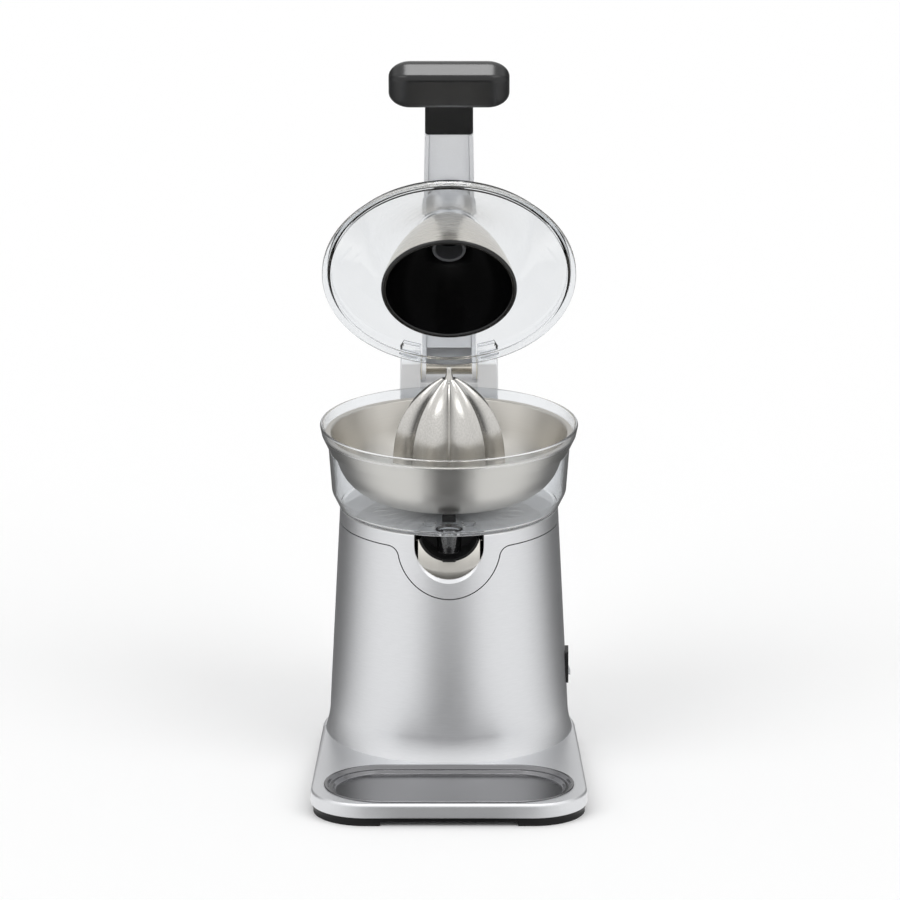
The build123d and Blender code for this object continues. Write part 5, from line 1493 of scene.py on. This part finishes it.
@dataclass
class Studio:
    """Floor, light and camera, in metres and degrees."""

    elevation_deg: float = 17.0
    distance: float = 14.0
    view_width: float = 0.6615
    target: Tuple[float, float, float] = (0.0007, 0.0126, 0.230)
    sensor_mm: float = 36.0
    sky_light: float = 0.78
    tent_radius: float = 1.1
    tent_height: float = 1.3
    tent_low: float = 0.002
    tent_sides: int = 96
    tent_fade: float = 0.55
    no_fade: Point = (8.0, 9.0)
    floor_half: float = 30.0
    panel_size: float = 0.8
    panel_level: float = 1.9
    panel_light: float = 8.0
    panel_back: float = 0.35
    lamp_turn_deg: Point = (48.0, 52.0)
    lamp_light: float = 0.6
    lamp_spread_deg: float = 40.0

    def camera(self) -> None:
        """Long lens from the photograph's angle."""
        data = bpy.data.cameras.new("camera")
        data.sensor_width = self.sensor_mm
        data.lens = self.sensor_mm * self.distance / self.view_width
        data.clip_end = 100.0
        made = placed("camera", data)
        lift = math.radians(self.elevation_deg)
        away = Vector((0.0, -math.cos(lift), math.sin(lift)))
        made.location = Vector(self.target) + away * self.distance
        made.rotation_euler = (math.pi / 2 - lift, 0.0, 0.0)
        bpy.context.scene.camera = made

    def world(self) -> None:
        """White for what looks at the background, softer for what lights the object."""
        world = bpy.data.worlds.new("studio")
        bpy.context.scene.world = world
        tree = blank_tree(world)
        path = put(tree, "ShaderNodeLightPath")
        seen = reckon(tree, "MAXIMUM", path.outputs["Is Camera Ray"], path.outputs["Is Glossy Ray"])
        through = reckon(tree, "MAXIMUM", seen, path.outputs["Is Transmission Ray"])
        light = put(tree, "ShaderNodeBackground", {"Color": WHITE, "Strength": self.sky_light})
        white = put(tree, "ShaderNodeBackground", {"Color": WHITE, "Strength": 1.0})
        mix = put(tree, "ShaderNodeMixShader", {0: through, 1: light.outputs[0], 2: white.outputs[0]})
        put(tree, "ShaderNodeOutputWorld", {"Surface": mix.outputs[0]})

    def floor(self) -> None:
        """Pale floor that keeps the object's shadow."""
        bm = bmesh.new()
        bmesh.ops.create_grid(bm, x_segments=1, y_segments=1, size=self.floor_half)
        floor = as_object(bm, "floor")
        made = bpy.data.materials.new("pale_floor")
        made.use_nodes = True
        shader = made.node_tree.nodes["Principled BSDF"]
        looks = {"Base Color": linear("#FBFBFB"), "Roughness": 0.9, "Specular IOR Level": 0.0}
        for label, value in looks.items():
            shader.inputs[label].default_value = value
        floor.data.materials.append(made)

    def reflected(self, name: str, shape: Shape, tones: Sequence[Point], fade: Point,
                  strength: float = 1.0) -> None:
        """Studio wall that only reflections see, with a tone for each bearing from the front.

        Args:
            name: the wall's name.
            shape: its form.
            tones: bearings in degrees with the tone at each.
            fade: heights between which the tone goes over to white.
            strength: how bright white is.
        """
        wall = as_object(shape, name)
        made = bpy.data.materials.new(name)
        tree = blank_tree(made)
        place = put(tree, "ShaderNodeTexCoord")
        parts = put(tree, "ShaderNodeSeparateXYZ", {0: place.outputs["Object"]})
        side = reckon(tree, "ABSOLUTE", parts.outputs["X"])
        front = reckon(tree, "MULTIPLY", parts.outputs["Y"], -1.0)
        share = reckon(tree, "DIVIDE", reckon(tree, "ARCTAN2", side, front), math.pi)
        ramp = put(tree, "ShaderNodeValToRGB", {"Fac": share})
        stops = ramp.color_ramp.elements
        while len(stops) < len(tones):
            stops.new(0.5)
        for stop, (angle, tone) in zip(stops, tones):
            stop.position = angle / 180
            stop.color = (tone, tone, tone, 1.0)
        high = put(tree, "ShaderNodeMapRange", {
            "Value": parts.outputs["Z"], "From Min": fade[0], "From Max": fade[1]},
            interpolation_type="SMOOTHSTEP")
        tone = put(tree, "ShaderNodeMix", {0: high.outputs[0], 6: ramp.outputs["Color"], 7: WHITE},
                   data_type="RGBA")
        glow = put(tree, "ShaderNodeEmission", {"Color": tone.outputs[2], "Strength": strength})
        put(tree, "ShaderNodeOutputMaterial", {"Surface": glow.outputs[0]})
        wall.data.materials.append(made)
        for ray in ("camera", "diffuse", "transmission", "shadow"):
            setattr(wall, f"visible_{ray}", False)

    def tent(self) -> None:
        """Dark strip on the ground in front, bright sides and a dark rear, as the reflections show."""
        rear = [(76.0, 1.0), (96.0, 0.70), (114.0, 0.22), (130.0, 0.08)]
        walls = [(0.0, 1.0)] + rear + [(148.0, 0.10), (158.0, 0.25), (169.0, 0.64), (180.0, 0.68)]
        ground = [(0.0, 0.14), (11.0, 0.14), (22.0, 0.64), (34.0, 1.0)] + rear + [(180.0, 0.10)]
        bm = bmesh.new()
        plan = arc((0.0, 0.0), self.tent_radius, 0.0, 2 * math.pi, self.tent_sides)[:-1]
        band(bm, *([bm.verts.new((x, y, z)) for x, y in plan] for z in (self.tent_low, self.tent_height)))
        self.reflected("tent_wall", bm, walls, (self.tent_fade * self.tent_height, self.tent_height))
        disc = bmesh.new()
        bmesh.ops.create_circle(disc, cap_ends=True, segments=self.tent_sides, radius=self.tent_radius)
        disc.transform(Matrix.Translation((0.0, 0.0, self.tent_low)))
        self.reflected("tent_ground", disc, ground, self.no_fade)
        panel = bmesh.new()
        bmesh.ops.create_grid(panel, x_segments=1, y_segments=1, size=self.panel_size / 2)
        panel.transform(Matrix.Translation((0.0, self.panel_back, self.panel_level)))
        self.reflected("overhead_panel", panel, [(0.0, 1.0), (180.0, 1.0)], self.no_fade, self.panel_light)

    def lamp(self, name: str, side: int) -> None:
        """Broad far lamp to one side of the front.

        Args:
            name: the lamp's name.
            side: -1 for the left one, 1 for the right one.
        """
        data = bpy.data.lights.new(name, "SUN")
        data.energy = self.lamp_light
        data.angle = math.radians(self.lamp_spread_deg)
        tip, turn = self.lamp_turn_deg
        placed(name, data).rotation_euler = (math.radians(tip), 0.0, side * math.radians(turn))

    def build(self) -> None:
        """Sets up the studio."""
        bpy.context.scene.view_settings.view_transform = "Standard"
        self.camera()
        self.world()
        self.floor()
        self.tent()
        self.lamp("left_lamp", -1)
        self.lamp("right_lamp", 1)


def main() -> None:
    """Builds the studio and the juicer's sub-assemblies in order."""
    logging.basicConfig(level=logging.INFO, format="%(message)s")
    for kind in (Studio, Stand, Housing, JuiceSet, HingeColumn, PressLever, SideSwitch, Drive):
        kind().build()


if __name__ == "__main__":
    main()
